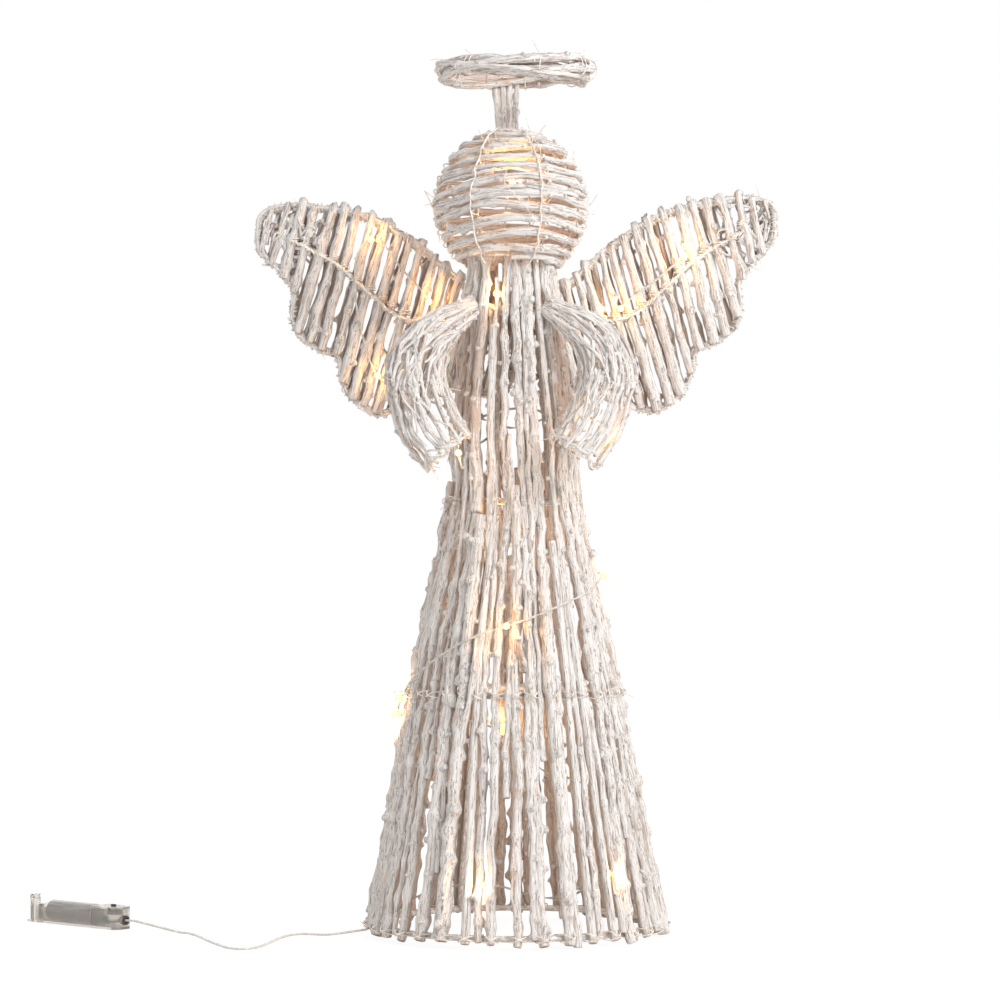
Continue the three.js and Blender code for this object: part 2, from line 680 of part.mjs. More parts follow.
// Outline of the tray from above, with the cable end's corners cut off, drawn in by a margin
function trayOutline(margin, from, to) {
  const shape = new THREE.Shape();
  shape.moveTo(from, margin);
  shape.lineTo(to - margin - endChamfer, margin);
  shape.lineTo(to - margin, margin + endChamfer);
  shape.lineTo(to - margin, trayWidth - margin - endChamfer);
  shape.lineTo(to - margin - endChamfer, trayWidth - margin);
  shape.lineTo(from, trayWidth - margin);
  shape.closePath();
  return shape;
}
function extruded(shape, low, high) {
  return new THREE.ExtrudeGeometry(shape, { depth: high - low, bevelEnabled: false }).translate(0, 0, low);
}

const partitionStart = trayWall + bayLength;
const compartmentStart = partitionStart + trayWall;
function batteryTray() {
  const outer = joined([
    block([0, 0, 0], [partitionStart, trayWidth, trayWallHeight]),
    extruded(trayOutline(0, partitionStart - cutOverrun, trayLength), 0, compartmentHeight),
    block([-screwPostLength, 0, 0], [screwPostLength + trayWall, screwPostWidth, screwPostHeight]),
    rod(
      [-screwPostLength - trayWall, screwPostWidth / 2, screwPostHeight - screwBossRadius - restGap],
      screwBossRadius, trayWall + cutOverrun, 'x', smallRodSides,
    ),
    block([-screwPostLength - footTabLength, 0, 0], [footTabLength + cutOverrun, trayWall, footTabHeight]),
  ]);
  const bay = block(
    [trayWall, trayWall, trayFloor],
    [bayLength, trayWidth - 2 * trayWall, screwPostHeight],
  );
  const room = extruded(
    trayOutline(trayWall, compartmentStart, trayLength), trayFloor, compartmentHeight + cutOverrun,
  );
  const screwHole = rod(
    [-screwPostLength - 2 * trayWall, screwPostWidth / 2, screwPostHeight - screwBossRadius - restGap],
    screwHoleRadius, screwPostLength + 4 * trayWall, 'x', coarseSides,
  );
  const cableHole = rod(
    [trayLength - trayWall - cutOverrun, trayMiddle, grommetHeight],
    grommetRadius + restGap, trayWall + 2 * cutOverrun, 'x',
  );
  const shell = cutFrom(outer, [bay, room, screwHole, cableHole]);
  const legs = [0, 1].map((end) => {
    const place = compartmentStart + 2 * boardLegRadius + end * (boardLength - 2 * boardLegRadius);
    return rod(
      [place, trayMiddle, trayFloor - restGap], boardLegRadius, boardLegHeight + restGap, 'z', coarseSides,
    );
  });
  return joined([shell, ...legs]);
}
piece('battery_tray', batteryTray(), clearPlastic, box);

const lidLow = compartmentHeight + restGap;
const knobStart = switchCentre - (knobLength + knobTravel) / 2;
const slotStart = knobStart - slotClearance;
const slotSide = trayMiddle - knobWidth / 2 - slotClearance;
const slotLength = knobLength + knobTravel + 2 * slotClearance;
const slotWidth = knobWidth + 2 * slotClearance;
function compartmentLid() {
  const plate = extruded(trayOutline(0, partitionStart, trayLength), lidLow, lidLow + lidThickness);
  const slot = block(
    [slotStart, slotSide, lidLow - cutOverrun],
    [slotLength, slotWidth, lidThickness + 2 * cutOverrun],
  );
  return cutFrom(plate, [slot]);
}
piece('compartment_lid', compartmentLid(), clearPlastic, box);

const switchTop = lidLow - restGap;
const knobFootDepth = 1;
function switchBody() {
  const body = block(
    [switchCentre - switchLength / 2, trayMiddle - switchWidth / 2, switchTop - switchHeight],
    [switchLength, switchWidth, switchHeight],
  );
  const pocket = block(
    [slotStart, slotSide, switchTop - knobFootDepth - restGap],
    [slotLength, slotWidth, knobFootDepth + restGap + cutOverrun],
  );
  return cutFrom(body, [pocket]);
}
piece('slide_switch_body', switchBody(), darkPlastic, box);
piece('slide_switch_knob', block(
  [knobStart, trayMiddle - knobWidth / 2, switchTop - knobFootDepth],
  [knobLength, knobWidth, knobFootDepth + restGap + lidThickness + knobProud],
), darkPlastic, box);

// Driver board on its two legs, with the choke that lifts one cell's voltage
const boardLow = trayFloor + boardLegHeight + restGap;
function driverBoard() {
  const start = compartmentStart + boardLegRadius;
  return joined([
    block([start, trayMiddle - boardWidth / 2, boardLow], [boardLength, boardWidth, boardThickness]),
    rod(
      [start + boardLength * chokePlaceShare, trayMiddle, boardLow + boardThickness - restGap],
      chokeRadius, chokeHeight, 'z', smallRodSides,
    ),
  ]);
}
piece('driver_board', driverBoard(), boardGreen, box);

// Cell, with the spring contact at its flat end and the plate contact at its nub
const springRoom = bayLength - cellLength - cellNubLength - contactThickness - 2 * restGap;
const cellStart = trayWall + springRoom;
const cellAxisHeight = trayFloor + restGap + cellRadius;
function dryCell() {
  const outline = [
    [0, 0], [cellRadius - cellEdge, 0], [cellRadius, cellEdge],
    [cellRadius, cellLength - cellEdge], [cellRadius - cellEdge, cellLength], [cellNubRadius, cellLength],
    [cellNubRadius, cellLength + cellNubLength], [0, cellLength + cellNubLength],
  ].map(([r, along]) => new THREE.Vector2(r, along));
  return new THREE.LatheGeometry(outline, cellSides).rotateZ(-Math.PI / 2)
    .translate(cellStart, trayMiddle, cellAxisHeight);
}
piece('dry_cell', dryCell(), cellSleeve, box);

function springContact() {
  const plateEnd = trayWall + restGap + contactThickness;
  const coilLength = cellStart - restGap - plateEnd - springWireRadius;
  const steps = springTurns * springStepsPerTurn;
  const seat = springWireRadius * springSeatShare;
  const points = [];
  for (let i = 0; i <= steps; i += 1) {
    const share = i / steps;
    const radius = THREE.MathUtils.lerp(springLargeRadius, springSmallRadius, share);
    const angle = 2 * Math.PI * springTurns * share;
    points.push(new THREE.Vector3(
      plateEnd + seat + (coilLength - seat) * share,
      trayMiddle + radius * Math.cos(angle),
      cellAxisHeight + radius * Math.sin(angle),
    ));
  }
  const plate = block(
    [trayWall + restGap, trayMiddle - contactWidth / 2, trayFloor + restGap],
    [contactThickness, contactWidth, contactWidth],
  );
  return { points, geometry: joined([plate, loft(points, points.map(() => springWireRadius))]) };
}
const spring = springContact();
piece('spring_contact', spring.geometry, springSteel, box);
piece('plate_contact', block(
  [partitionStart - restGap - contactThickness, trayMiddle - contactWidth / 2, trayFloor + restGap],
  [contactThickness, contactWidth, contactWidth],
), springSteel, box);

// Grommet in the cable end, bored for the lead
function cableGrommet() {
  const bore = leadRadius + restGap;
  const waist = trayWall + 2 * restGap;
  const outline = [
    [bore, -grommetFlange], [grommetFlangeRadius, -grommetFlange], [grommetFlangeRadius, 0],
    [grommetRadius, 0], [grommetRadius, waist], [grommetFlangeRadius, waist],
    [grommetFlangeRadius, waist + grommetFlange], [bore, waist + grommetFlange], [bore, -grommetFlange],
  ].map(([r, along]) => new THREE.Vector2(r, along));
  return new THREE.LatheGeometry(outline, rodSides).rotateZ(-Math.PI / 2)
    .translate(trayLength - trayWall - restGap, trayMiddle, grommetHeight);
}
piece('cable_grommet', cableGrommet(), darkPlastic, box);

// Lead: from inside the compartment through the grommet and over the floor to the string's first point
const leadInside = 7;
const leadOutside = 12;
function leadCable() {
  box.updateMatrixWorld(true);
  const inBox = (x) => box.localToWorld(new THREE.Vector3(x, trayMiddle, grommetHeight));
  const start = inBox(trayLength - leadInside);
  const axis = inBox(trayLength).sub(start).normalize();
  const exit = lights.points[0];
  const arrival = lights.points[1].clone().sub(exit).normalize();
  const points = [
    start, inBox(trayLength + trayWall), inBox(trayLength + leadOutside / 2), inBox(trayLength + leadOutside),
    ...leadRoute.map((point) => new THREE.Vector3(...point)),
    exit.clone().addScaledVector(arrival, -restGap),
  ];
  const ends = { sides: leadSides, startAxis: axis, endAxis: arrival };
  return { points, geometry: loft(points, points.map(() => leadRadius), ends) };
}
const lead = leadCable();
piece('lead_cable', lead.geometry, clearCable);

// Least free gap of a wound piece to itself, along points of its own path
function leastGap(points, radius, skip, closed = false) {
  let least = Infinity;
  const segment = new THREE.Line3();
  const near = new THREE.Vector3();
  const last = closed ? points.length : points.length - 1;
  points.forEach((point, i) => {
    for (let k = 0; k < last; k += 1) {
      const apart = Math.abs(i - k);
      const around = closed ? Math.min(apart, points.length - apart) : apart;
      if (around <= skip) continue;
      segment.set(points[k], points[(k + 1) % points.length]);
      segment.closestPointToPoint(point, true, near);
      least = Math.min(least, near.distanceTo(point) - 2 * radius);
    }
  });
  return least.toFixed(2);
}
console.log('least gap of the head winding to itself, mm:', leastGap(head.points, headTwigRadius, 5));
console.log('least gap of the halo winding to itself, mm:', leastGap(halo.points, haloTwigRadius, 5, true));
console.log('least gap of the contact spring to itself, mm:', leastGap(spring.points, springWireRadius, 4));
console.log('least gap of the light string to itself, mm:', leastGap(lights.points, stringRadius, 2));

export default angel;
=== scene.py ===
# Lighted twig angel: the finish of every surface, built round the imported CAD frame. Metres, +Z up.

import math
from types import SimpleNamespace

import bpy
import numpy as np
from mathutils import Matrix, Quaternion, Vector

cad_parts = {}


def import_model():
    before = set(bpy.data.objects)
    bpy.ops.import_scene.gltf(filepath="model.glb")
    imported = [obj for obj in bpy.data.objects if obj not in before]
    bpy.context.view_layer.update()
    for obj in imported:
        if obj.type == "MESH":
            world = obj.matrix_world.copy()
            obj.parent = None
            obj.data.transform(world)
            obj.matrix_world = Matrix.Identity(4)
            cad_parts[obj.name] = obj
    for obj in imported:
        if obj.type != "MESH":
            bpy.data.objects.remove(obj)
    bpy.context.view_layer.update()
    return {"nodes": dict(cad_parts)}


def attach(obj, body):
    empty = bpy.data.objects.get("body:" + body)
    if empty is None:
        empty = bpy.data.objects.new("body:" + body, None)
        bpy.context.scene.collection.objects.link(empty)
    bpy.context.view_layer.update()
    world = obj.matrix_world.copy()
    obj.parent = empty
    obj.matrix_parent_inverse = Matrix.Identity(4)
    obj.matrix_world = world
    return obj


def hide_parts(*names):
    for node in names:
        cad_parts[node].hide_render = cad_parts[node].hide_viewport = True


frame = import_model()
nodes = frame["nodes"]

MM = 0.001
TURN = 2 * math.pi
UP = Vector((0, 0, 1))
TOWARDS_VIEWER = Vector((0, -1, 0))

# Camera, in the photograph's frame of 1000 by 1000
CAMERA_PLACE = Vector((-11.6, -2520, 296)) * MM
CAMERA_LENS = 129.6
CAMERA_SENSOR = 36
CAMERA_SHIFT = 0.01

# Skirt and bodice, as in the CAD model
SKIRT_HEIGHT = 475 * MM
BASE_RADIUS = 103 * MM
NECK_RADIUS = 26.5 * MM
FLARE_POWER = 1.18
NECK_LEAN = -4 * MM
STICK_BASE_RADIUS = 3.5 * MM
STICK_NECK_RADIUS = 2.7 * MM
STICK_COUNT = 36
STICKS = [f"skirt_stick_{number + 1:02d}" for number in range(STICK_COUNT)]

# Welded wire frame
REST_GAP = 0.3 * MM
HOOP_RADIUS = 2.2 * MM
UPRIGHT_RADIUS = 2 * MM
HOOP_HEIGHTS = [7 * MM, 169 * MM, 302 * MM, 436 * MM]
UPRIGHT_ANGLES = [-65, -125, 25, 115]
KNOT_SWELL = 1.35
TWIG_FLAT_SHARE = math.cos(math.pi / 5)

# Head and halo
HEAD_RADIUS = 54.6 * MM
HEAD_CENTRE = Vector((NECK_LEAN, 0, 509 * MM))
HEAD_TWIG_RADIUS = 3.1 * MM
HEAD_TURN_PITCH = 9.4 * MM
HEAD_TOP_ANGLE = math.radians(9)
HEAD_WIRE_RADIUS = 1 * MM
HEAD_MERIDIANS = 3
HALO_RADIUS = 56.5 * MM
HALO_HEIGHT = 603 * MM
HALO_TWIG_RADIUS = 2.8 * MM
HALO_STRAND_OFFSET = 3.9 * MM
HALO_LAPS = 3
HALO_TWISTS = 4
POST_TWIG_PITCH = 4.4 * MM
POST_TWIGS = 4
POST_X = -7 * MM
POST_FOOT_Y = 40 * MM
POST_TOP_Y = 47 * MM

# Wings
WING_HALF_SPAN = 184 * MM
WING_BOTTOM = 365 * MM
WING_HEIGHT = 148 * MM
WING_STICK_RADIUS = 3 * MM
WING_SLOPE = 0.29
WING_SWEEP = 0.15
WING_LEAN = -0.134
WING_ROOT = 6 * MM
RIGHT_WING_LIFT = 7 * MM
WING_ROOT_SHARES = [0.12, 0.58]
WING_OUTLINE_SHARES = [
    (0.16, 0.58), (0.3, 0.72), (0.4, 0.82), (0.54, 0.92), (0.67, 0.97), (0.87, 1), (0.98, 0.96),
    (1, 0.88), (0.99, 0.78), (0.91, 0.68), (0.865, 0.6), (0.87, 0.46), (0.84, 0.38), (0.76, 0.31),
    (0.695, 0.285), (0.685, 0.2), (0.655, 0.1), (0.6, 0.04), (0.53, 0), (0.4, 0.05), (0.24, 0.12),
]
SPINE_SHARES = [(0.12, 0.42), (0.42, 0.45), (0.57, 0.58), (0.7, 0.72), (0.88, 0.84)]
SPINE_RADIUS = 1.2 * MM

# Route of the light string: the same points as in the CAD model, in millimetres and degrees.
# On the skirt: angle, height and distance out from the sticks. On a wing: side, x and z. Open: x, y and z.
# A word says which way the bulb at that place points.
STRING_RUNS = [
    ("skirt", [
        (-165, 6, 5), (-165, 15, -2), (-160, 20, -12), (-145, 30, -12), (-130, 37, -12), (-114, 42, -10),
        (-105, 43, -3, "out"), (-96, 41, -10), (-80, 34, -12), (-64, 34, -12), (-52, 43, -10),
        (-45, 48, -3, "out"), (-38, 54, -10), (-20, 70, -12), (0, 82, -12), (20, 90, -12), (40, 98, -12),
        (57, 103, -10), (65, 105, -3, "out"), (73, 108, -10), (85, 122, -12), (97, 136, -12, "up"),
        (112, 143, -12), (130, 147, -12), (150, 149, -12), (168, 150, -10), (175.4, 151, -1),
        (176, 153, 7, "out"), (181, 159, 8), (186, 165, 7, "out"), (194, 172, 7), (204, 180, 7),
        (216, 189, 7), (228, 198, 7), (240, 206, 7), (252, 212, 7), (265, 217, 7, "out"), (278, 222, 7),
        (292, 228, 7), (307, 234, 7), (322, 239, 7), (338, 244, 7), (352, 248, 7), (360, 250, 8, "out"),
        (369, 252, 7), (375, 254, 0), (380, 256, -10), (396, 260, -11), (416, 263, -11), (430, 265, -9),
        (435, 266, -3, "out"), (440, 267, -9), (460, 271, -11), (482, 274, -11), (490, 275, -9),
        (495, 276, -3, "out"), (500, 277, -9), (520, 280, -11), (545, 282, -11), (570, 283, -11),
        (595, 283, -11), (622, 284, -11, "up"), (640, 294, -12), (655, 314, -12), (668, 332, -11),
        (675, 339, -7), (675, 341, 2),
    ]),
    ("open", [
        (42, -42, 343), (53, -49, 345), (58, -52, 351, "front"), (54, -49, 358), (44, -41, 360),
    ]),
    ("skirt", [
        (675, 360, 2), (675, 362, -7), (660, 366, -10), (630, 366, -11), (600, 363, -10), (585, 359, -7),
        (585, 357, 2),
    ]),
    ("open", [
        (-37, -44, 352), (-40, -54, 344), (-40, -60, 335, "front"), (-38, -58, 326), (-36, -49, 325),
        (-36, -41, 331),
    ]),
    ("skirt", [
        (585, 338, 2), (585, 342, -8), (595, 350, -15), (608, 374, -16), (610, 400, -14), (608, 425, -13),
        (607.5, 441, -12), (607.5, 446, -6, "out"), (607.5, 452, -11),
    ]),
    ("open", [
        (-7, -11, 468), (-8, -22, 490), (-7, -31, 510), (-3, -34, 522, "front"), (3, -30, 526),
        (8, -22, 518), (9, -8, 495), (6, 2, 468), (0, 5, 440), (-4, 7, 415), (-10, 12, 390),
    ]),
    ("skirt", [(135, 377, -8), (135, 374, 2)]),
    ("open", [(-44, 38, 384)]),
    ("wing", [
        (-1, 54, 415), (-1, 62, 444, "front"), (-1, 82, 468), (-1, 93, 483), (-1, 103, 488, "front"),
        (-1, 111, 482), (-1, 115, 465), (-1, 112, 430), (-1, 99, 392, "front"), (-1, 78, 380),
    ]),
    ("open", [(-52, 42, 370)]),
    ("skirt", [
        (135, 363, 4), (135, 361, -7), (115, 357, -13), (90, 354, -14), (62, 357, -12), (45, 361, -7),
        (45, 363, 3),
    ]),
    ("open", [(40, 39, 376)]),
    ("wing", [(1, 56, 404), (1, 74, 438, "front"), (1, 96, 455), (1, 120, 474, "front")]),
]
STRING_ROUTE = [(kind, *row) for kind, rows in STRING_RUNS for row in rows]
STRING_STRAND_RADIUS = 0.45 * MM
STRING_FORWARD = 7.3 * MM
BULB_RADIUS = 2.3 * MM
BULB_LENGTH = 7.6 * MM
BULB_SEAT = 1.6 * MM

# Lead on the floor, in millimetres as in the CAD model, and the battery box it runs into
LEAD_LIFT = 1.6
LEAD_ROUTE = [
    (-237, -6), (-229, -14), (-221, -30), (-214, -50), (-207, -70), (-200, -87), (-194, -99), (-187, -105),
    (-179, -102), (-174, -92), (-170, -76), (-166, -57), (-162, -39), (-157, -26), (-150, -20),
    (-142, -22, 1.7), (-134, -27, 2), (-126, -30.5, 2.8),
]
LEAD_WIDTH = 2.8 * MM
BOX_CORNER = Vector((-347, 68, 0)) * MM
BOX_YAW = -math.radians(39.5)
TRAY_LENGTH = 84 * MM
TRAY_WIDTH = 18.4 * MM
TRAY_WALL = 1.4 * MM
GROMMET_HEIGHT = 6.4 * MM
LEAD_INSIDE = 7 * MM
LEAD_OUTSIDE = 12 * MM

# The waist is drawn in by its binding wire and a little to one side, the short sticks only half as far
WAIST_IN = 9 * MM
WAIST_SHIFT = Vector((2 * MM, 0, 0))
WAIST_HEIGHT = 302 * MM
WAIST_REACH_BELOW = 75 * MM
WAIST_REACH_ABOVE = 35 * MM
SHORT_STICK_SHARE = 0.5


# Places on the figure
def near_waist(z):
    reach = WAIST_REACH_BELOW if z < WAIST_HEIGHT else WAIST_REACH_ABOVE
    return math.exp(-(((z - WAIST_HEIGHT) / reach) ** 2))


def skirt_radius(z):
    left = max(0.0, 1 - z / SKIRT_HEIGHT)
    return NECK_RADIUS + (BASE_RADIUS - NECK_RADIUS) * left**FLARE_POWER - WAIST_IN * near_waist(z)


def lean(z):
    return NECK_LEAN * z / SKIRT_HEIGHT + WAIST_SHIFT.x * near_waist(z)


def stick_radius(z):
    return STICK_BASE_RADIUS + (STICK_NECK_RADIUS - STICK_BASE_RADIUS) * z / SKIRT_HEIGHT


def round_skirt(angle, z, radius):
    return Vector((lean(z) + radius * math.cos(angle), radius * math.sin(angle), z))


def on_skirt(angle, z, offset=0):
    return round_skirt(angle, z, skirt_radius(z) + offset)


def wing_depth(x, z):
    back = skirt_radius(WING_BOTTOM) + STICK_BASE_RADIUS * KNOT_SWELL + REST_GAP + WING_STICK_RADIUS
    return back + WING_SWEEP * (abs(x) - WING_ROOT) + WING_LEAN * (z - WING_BOTTOM)


def wing_point(side, x, z):
    lift = RIGHT_WING_LIFT * (x / WING_HALF_SPAN) ** 2 if side > 0 else 0
    return Vector((side * x, wing_depth(x, z), z + lift))


def wing_share(share):
    return share[0] * WING_HALF_SPAN, WING_BOTTOM + share[1] * WING_HEIGHT


def string_point(row):
    kind, a, b, c = row[:4]
    if kind == "skirt":
        return on_skirt(math.radians(a), b * MM, c * MM)
    if kind == "wing":
        return wing_point(a, b * MM, c * MM) + TOWARDS_VIEWER * STRING_FORWARD
    return Vector((a, b, c)) * MM


def box_point(along, across, height):
    flat = Vector((along, across, height))
    flat.rotate(Quaternion(UP, BOX_YAW))
    return BOX_CORNER + flat


# Curves through points
def smooth_through(points, step, closed=False):
    """Evenly spaced points on a curve through the given ones."""
    points = [Vector(p) for p in points]
    count = len(points)
    fine = []
    for i in range(count if closed else count - 1):
        near = range(i - 1, i + 3)
        a, b, c, d = (points[k % count if closed else min(max(k, 0), count - 1)] for k in near)
        pieces = max(2, int((c - b).length / step * 2))
        for k in range(pieces):
            t = k / pieces
            bent = (2 * a - 5 * b + 4 * c - d) * t**2
            fine.append(0.5 * (2 * b + (c - a) * t + bent + (3 * b - a - 3 * c + d) * t**3))
    fine.append(fine[0] if closed else points[-1])
    return spaced(np.array([tuple(p) for p in fine]), step, closed)


def spaced(line, step, closed=False):
    """The same line in equal steps of about the given length."""
    lengths = np.r_[0, np.cumsum(np.linalg.norm(np.diff(line, axis=0), axis=1))]
    count = max(2, int(round(lengths[-1] / step))) + 1
    at = np.linspace(0, lengths[-1], count)
    if closed:
        at = at[:-1]
    return np.stack([np.interp(at, lengths, line[:, k]) for k in range(3)], axis=1)


def around(angles, first, second):
    """Directions at the given angles, from the first one towards the second."""
    return first * np.cos(angles)[:, None] + second * np.sin(angles)[:, None]


def carried_frames(line, closed=False):
    """Tangents and two side directions along a line, turning as little as they can."""
    ahead = np.roll(line, -1, 0) - np.roll(line, 1, 0) if closed else np.gradient(line, axis=0)
    tangents = ahead / np.linalg.norm(ahead, axis=1)[:, None]
    side = np.array((1.0, 0.0, 0.0) if abs(tangents[0][2]) > 0.9 else (0.0, 0.0, 1.0))
    sides = np.zeros_like(line)
    for i, tangent in enumerate(tangents):
        side = side - (side @ tangent) * tangent
        side = side / np.linalg.norm(side)
        sides[i] = side
    if closed:
        last = side - (side @ tangents[0]) * tangents[0]
        last /= np.linalg.norm(last)
        drift = math.atan2(last @ np.cross(tangents[0], sides[0]), last @ sides[0])
        sides = around(-drift * np.arange(len(line)) / len(line), sides, np.cross(tangents, sides))
    return tangents, sides, np.cross(tangents, sides)


def bell(distance, reach):
    return np.exp(-((distance / reach) ** 2))


def angle_apart(first, second):
    return np.abs((first - second + math.pi) % TURN - math.pi)


def ring_angles(count):
    return TURN * np.arange(count) / count


NOISE_KNOTS = 997


def noise(values, seed):
    """Smooth repeatable noise between -1 and 1, with one knot per unit."""
    knots = np.random.default_rng(seed).uniform(-1, 1, NOISE_KNOTS)
    cell = np.floor(values).astype(int)
    share = values - cell
    share = share * share * (3 - 2 * share)
    return knots[cell % NOISE_KNOTS] * (1 - share) + knots[(cell + 1) % NOISE_KNOTS] * share


# Meshes
def add_object(name, data, place=(0, 0, 0)):
    made = bpy.data.objects.new(name, data)
    made.location = place
    bpy.context.scene.collection.objects.link(made)
    return made


class Build:
    """Gathers tubes into one mesh, with what the materials read stored on its points."""

    def __init__(self):
        self.points = []
        self.faces = []
        self.values = {"grain": [], "wear": [], "coat": [], "cut": []}
        self.count = 0

    def add(self, points, faces, grain, **given):
        """Points in metres, their place in the grain in millimetres, and wear, coat and cut where not 0."""
        self.points.append(points)
        self.faces.extend([[self.count + v for v in face] for face in faces])
        self.values["grain"].append(grain)
        for name in ("wear", "coat", "cut"):
            self.values[name].append(given.get(name, np.zeros(len(points))))
        self.count += len(points)

    def finish(self, name, made_of, replaced=None):
        """One piece, on the body that all but the switch knob belongs to, and the CAD node it stands for."""
        material, slot = made_of
        mesh = bpy.data.meshes.new(name)
        mesh.from_pydata(np.concatenate(self.points).tolist(), [], self.faces)
        for key, rows in self.values.items():
            kind, field = ("FLOAT_VECTOR", "vector") if key == "grain" else ("FLOAT", "value")
            attribute = mesh.attributes.new(key, kind, "POINT")
            attribute.data.foreach_set(field, np.concatenate(rows).astype(np.float32).ravel())
        mesh.polygons.foreach_set("use_smooth", [True] * len(mesh.polygons))
        mesh.materials.append(material)
        mesh.validate()
        piece = add_object(name, mesh)
        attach(piece, "root")
        if replaced:
            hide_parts(replaced)
        return piece


def tube_faces(rings, sides, closed=False, capped=False):
    faces = []
    for i in range(rings if closed else rings - 1):
        a = i * sides
        b = ((i + 1) % rings) * sides
        for k in range(sides):
            n = (k + 1) % sides
            faces.append((a + k, a + n, b + n, b + k))
    if capped:
        faces += [tuple(reversed(range(sides))), tuple(range((rings - 1) * sides, rings * sides))]
    return faces


def skin(line, frames, reach, angles, along):
    """Rings of points round a line, and each point's place in the grain."""
    _, side, other = frames
    across, up = reach * np.cos(angles), reach * np.sin(angles)
    rings = line[:, None] + across[:, :, None] * side[:, None] + up[:, :, None] * other[:, None]
    return rings, np.stack([across, up, np.broadcast_to(along[:, None], across.shape)], 2) / MM


def tube(build, line, radius, sides=8, closed=False):
    """A plain round tube, with flat ends."""
    line = np.asarray(line, float)
    reach = np.full((len(line), 1), radius)
    along = np.arange(len(line)) * np.linalg.norm(line[1] - line[0])
    rings, grain = skin(line, carried_frames(line, closed), reach, ring_angles(sides), along)
    faces = tube_faces(len(line), sides, closed, not closed)
    build.add(rings.reshape(-1, 3), faces, grain.reshape(-1, 3))


# Usual roughness of a twig: lengths in millimetres, shares of its radius, and share of buds that are stubs
USUAL_LOOK = {
    "sides": 12, "step": 2.0, "bud_gap": 12, "bud_share": 0.5, "swell": 0.18, "groove": 0.12, "wander": 1.2,
    "bend": 60, "stubs": 0.6, "fissures": 2,
}
LOOK_LENGTHS = ("step", "bud_gap", "wander", "bend")


def twig_look(**given):
    look = USUAL_LOOK | given
    for name in LOOK_LENGTHS:
        look[name] *= MM
    return SimpleNamespace(**look)


# Ridges along the bark: height, number round the twig, how much they turn, and start
RIDGES = ((0.7, 3, 2, 0), (0.6, 5, -3, 1))

# Bark: how far along a twig each pattern changes, and how deep it goes
SWELL_WAVE = 0.9
SWELL_DEPTH = 0.15
RIDGE_TURN_LENGTH = 24 * MM
RIDGE_TURN = 1.6
RIDGE_SHARE = 0.5
STRIP_LENGTH = 8 * MM
STRIP_SHARE = 0.8
FISSURE_TURN_LENGTH = 26 * MM
FISSURE_TURN = 0.7
FISSURE_LEVEL = 0.4
FISSURE_LENGTH = 17 * MM
FISSURE_ANGLE = 0.3
FISSURE_DEPTH = 1.6
FISSURE_WEAR = 1.9
BUMP_WEAR = 0.8
WANDER_NOISE_SHARE = 0.7
BUD_REACH = 2.0 * MM
SWELL_REACH = 3.8 * MM
BUD_ANGLE = 0.6
END_TAPER = 5 * MM
CUT_BEVEL = 0.5 * MM
CUT_DOME = 1.2
CUT_SHARE = 0.82
STUB_RADIUS_SHARE = 0.34
STUB_RADIUS = 0.72 * MM
STUB_SIDES = 7
STUB_SHARES = [(0.9, -0.7), (1.0, 0), (1.08, 0.45), (0.86, 0.85), (0.42, 1)]
STUB_TIP_SHARE = 1.02
STUB_UNEVEN = 0.16
STUB_ACROSS = (0.3, 0.5, 0.81)
STUB_WEAR = 0.5
GRAIN_SHIFTS = 977
GRAIN_SHIFT_STEP = 13.0
STUB_GRAIN_SHIFTS = 331


def stub(build, base, out, radius, height, rng, shift):
    """The rounded end of a side shoot that was cut off."""
    out = out / np.linalg.norm(out)
    side = np.cross(out, STUB_ACROSS)
    side /= np.linalg.norm(side)
    ways = around(ring_angles(STUB_SIDES), side, np.cross(out, side))
    rings = []
    for wide, high in STUB_SHARES:
        reach = radius * wide * (1 + STUB_UNEVEN * rng.uniform(-1, 1, STUB_SIDES))
        rings.append(base + out * height * high + ways * reach[:, None])
    points = np.concatenate([*rings, [base + out * height * STUB_TIP_SHARE]])
    size = len(points)
    faces = tube_faces(len(STUB_SHARES), STUB_SIDES)
    last = size - 1 - STUB_SIDES
    faces += [(last + k, last + (k + 1) % STUB_SIDES, size - 1) for k in range(STUB_SIDES)]
    cut = np.zeros(size)
    cut[-1] = rng.uniform(0, 1)
    coat = np.full(size, rng.uniform(0.6, 1))
    grain = (points - base) / MM + (shift, 0, shift)
    build.add(points, faces, grain, wear=np.full(size, STUB_WEAR), coat=coat, cut=cut)


def bark(along, angles, look, rng, seed):
    """Strips of bark, how deep its fissures are, and the relief of both as a share of the radius."""
    phase = noise(along / RIDGE_TURN_LENGTH, seed + 5)[:, None] * RIDGE_TURN
    ridges = 0
    for height, number, turning, start in RIDGES:
        ridges = ridges + height * np.sin(number * angles + phase * turning + start)
    strips = np.stack([noise(along / STRIP_LENGTH, seed + 20 + k) for k in range(look.sides)], axis=1)
    relief = look.groove * (RIDGE_SHARE * ridges + STRIP_SHARE * strips)
    depth = np.zeros(strips.shape)
    for k in range(look.fissures):
        turn = rng.uniform(0, TURN) + FISSURE_TURN * noise(along / FISSURE_TURN_LENGTH, seed + 60 + k)
        deep = np.clip(FISSURE_LEVEL + noise(along / FISSURE_LENGTH, seed + 70 + k), 0, 1)
        depth += deep[:, None] * bell(angle_apart(angles, turn[:, None]), FISSURE_ANGLE)
    return strips, depth, relief - look.groove * FISSURE_DEPTH * depth


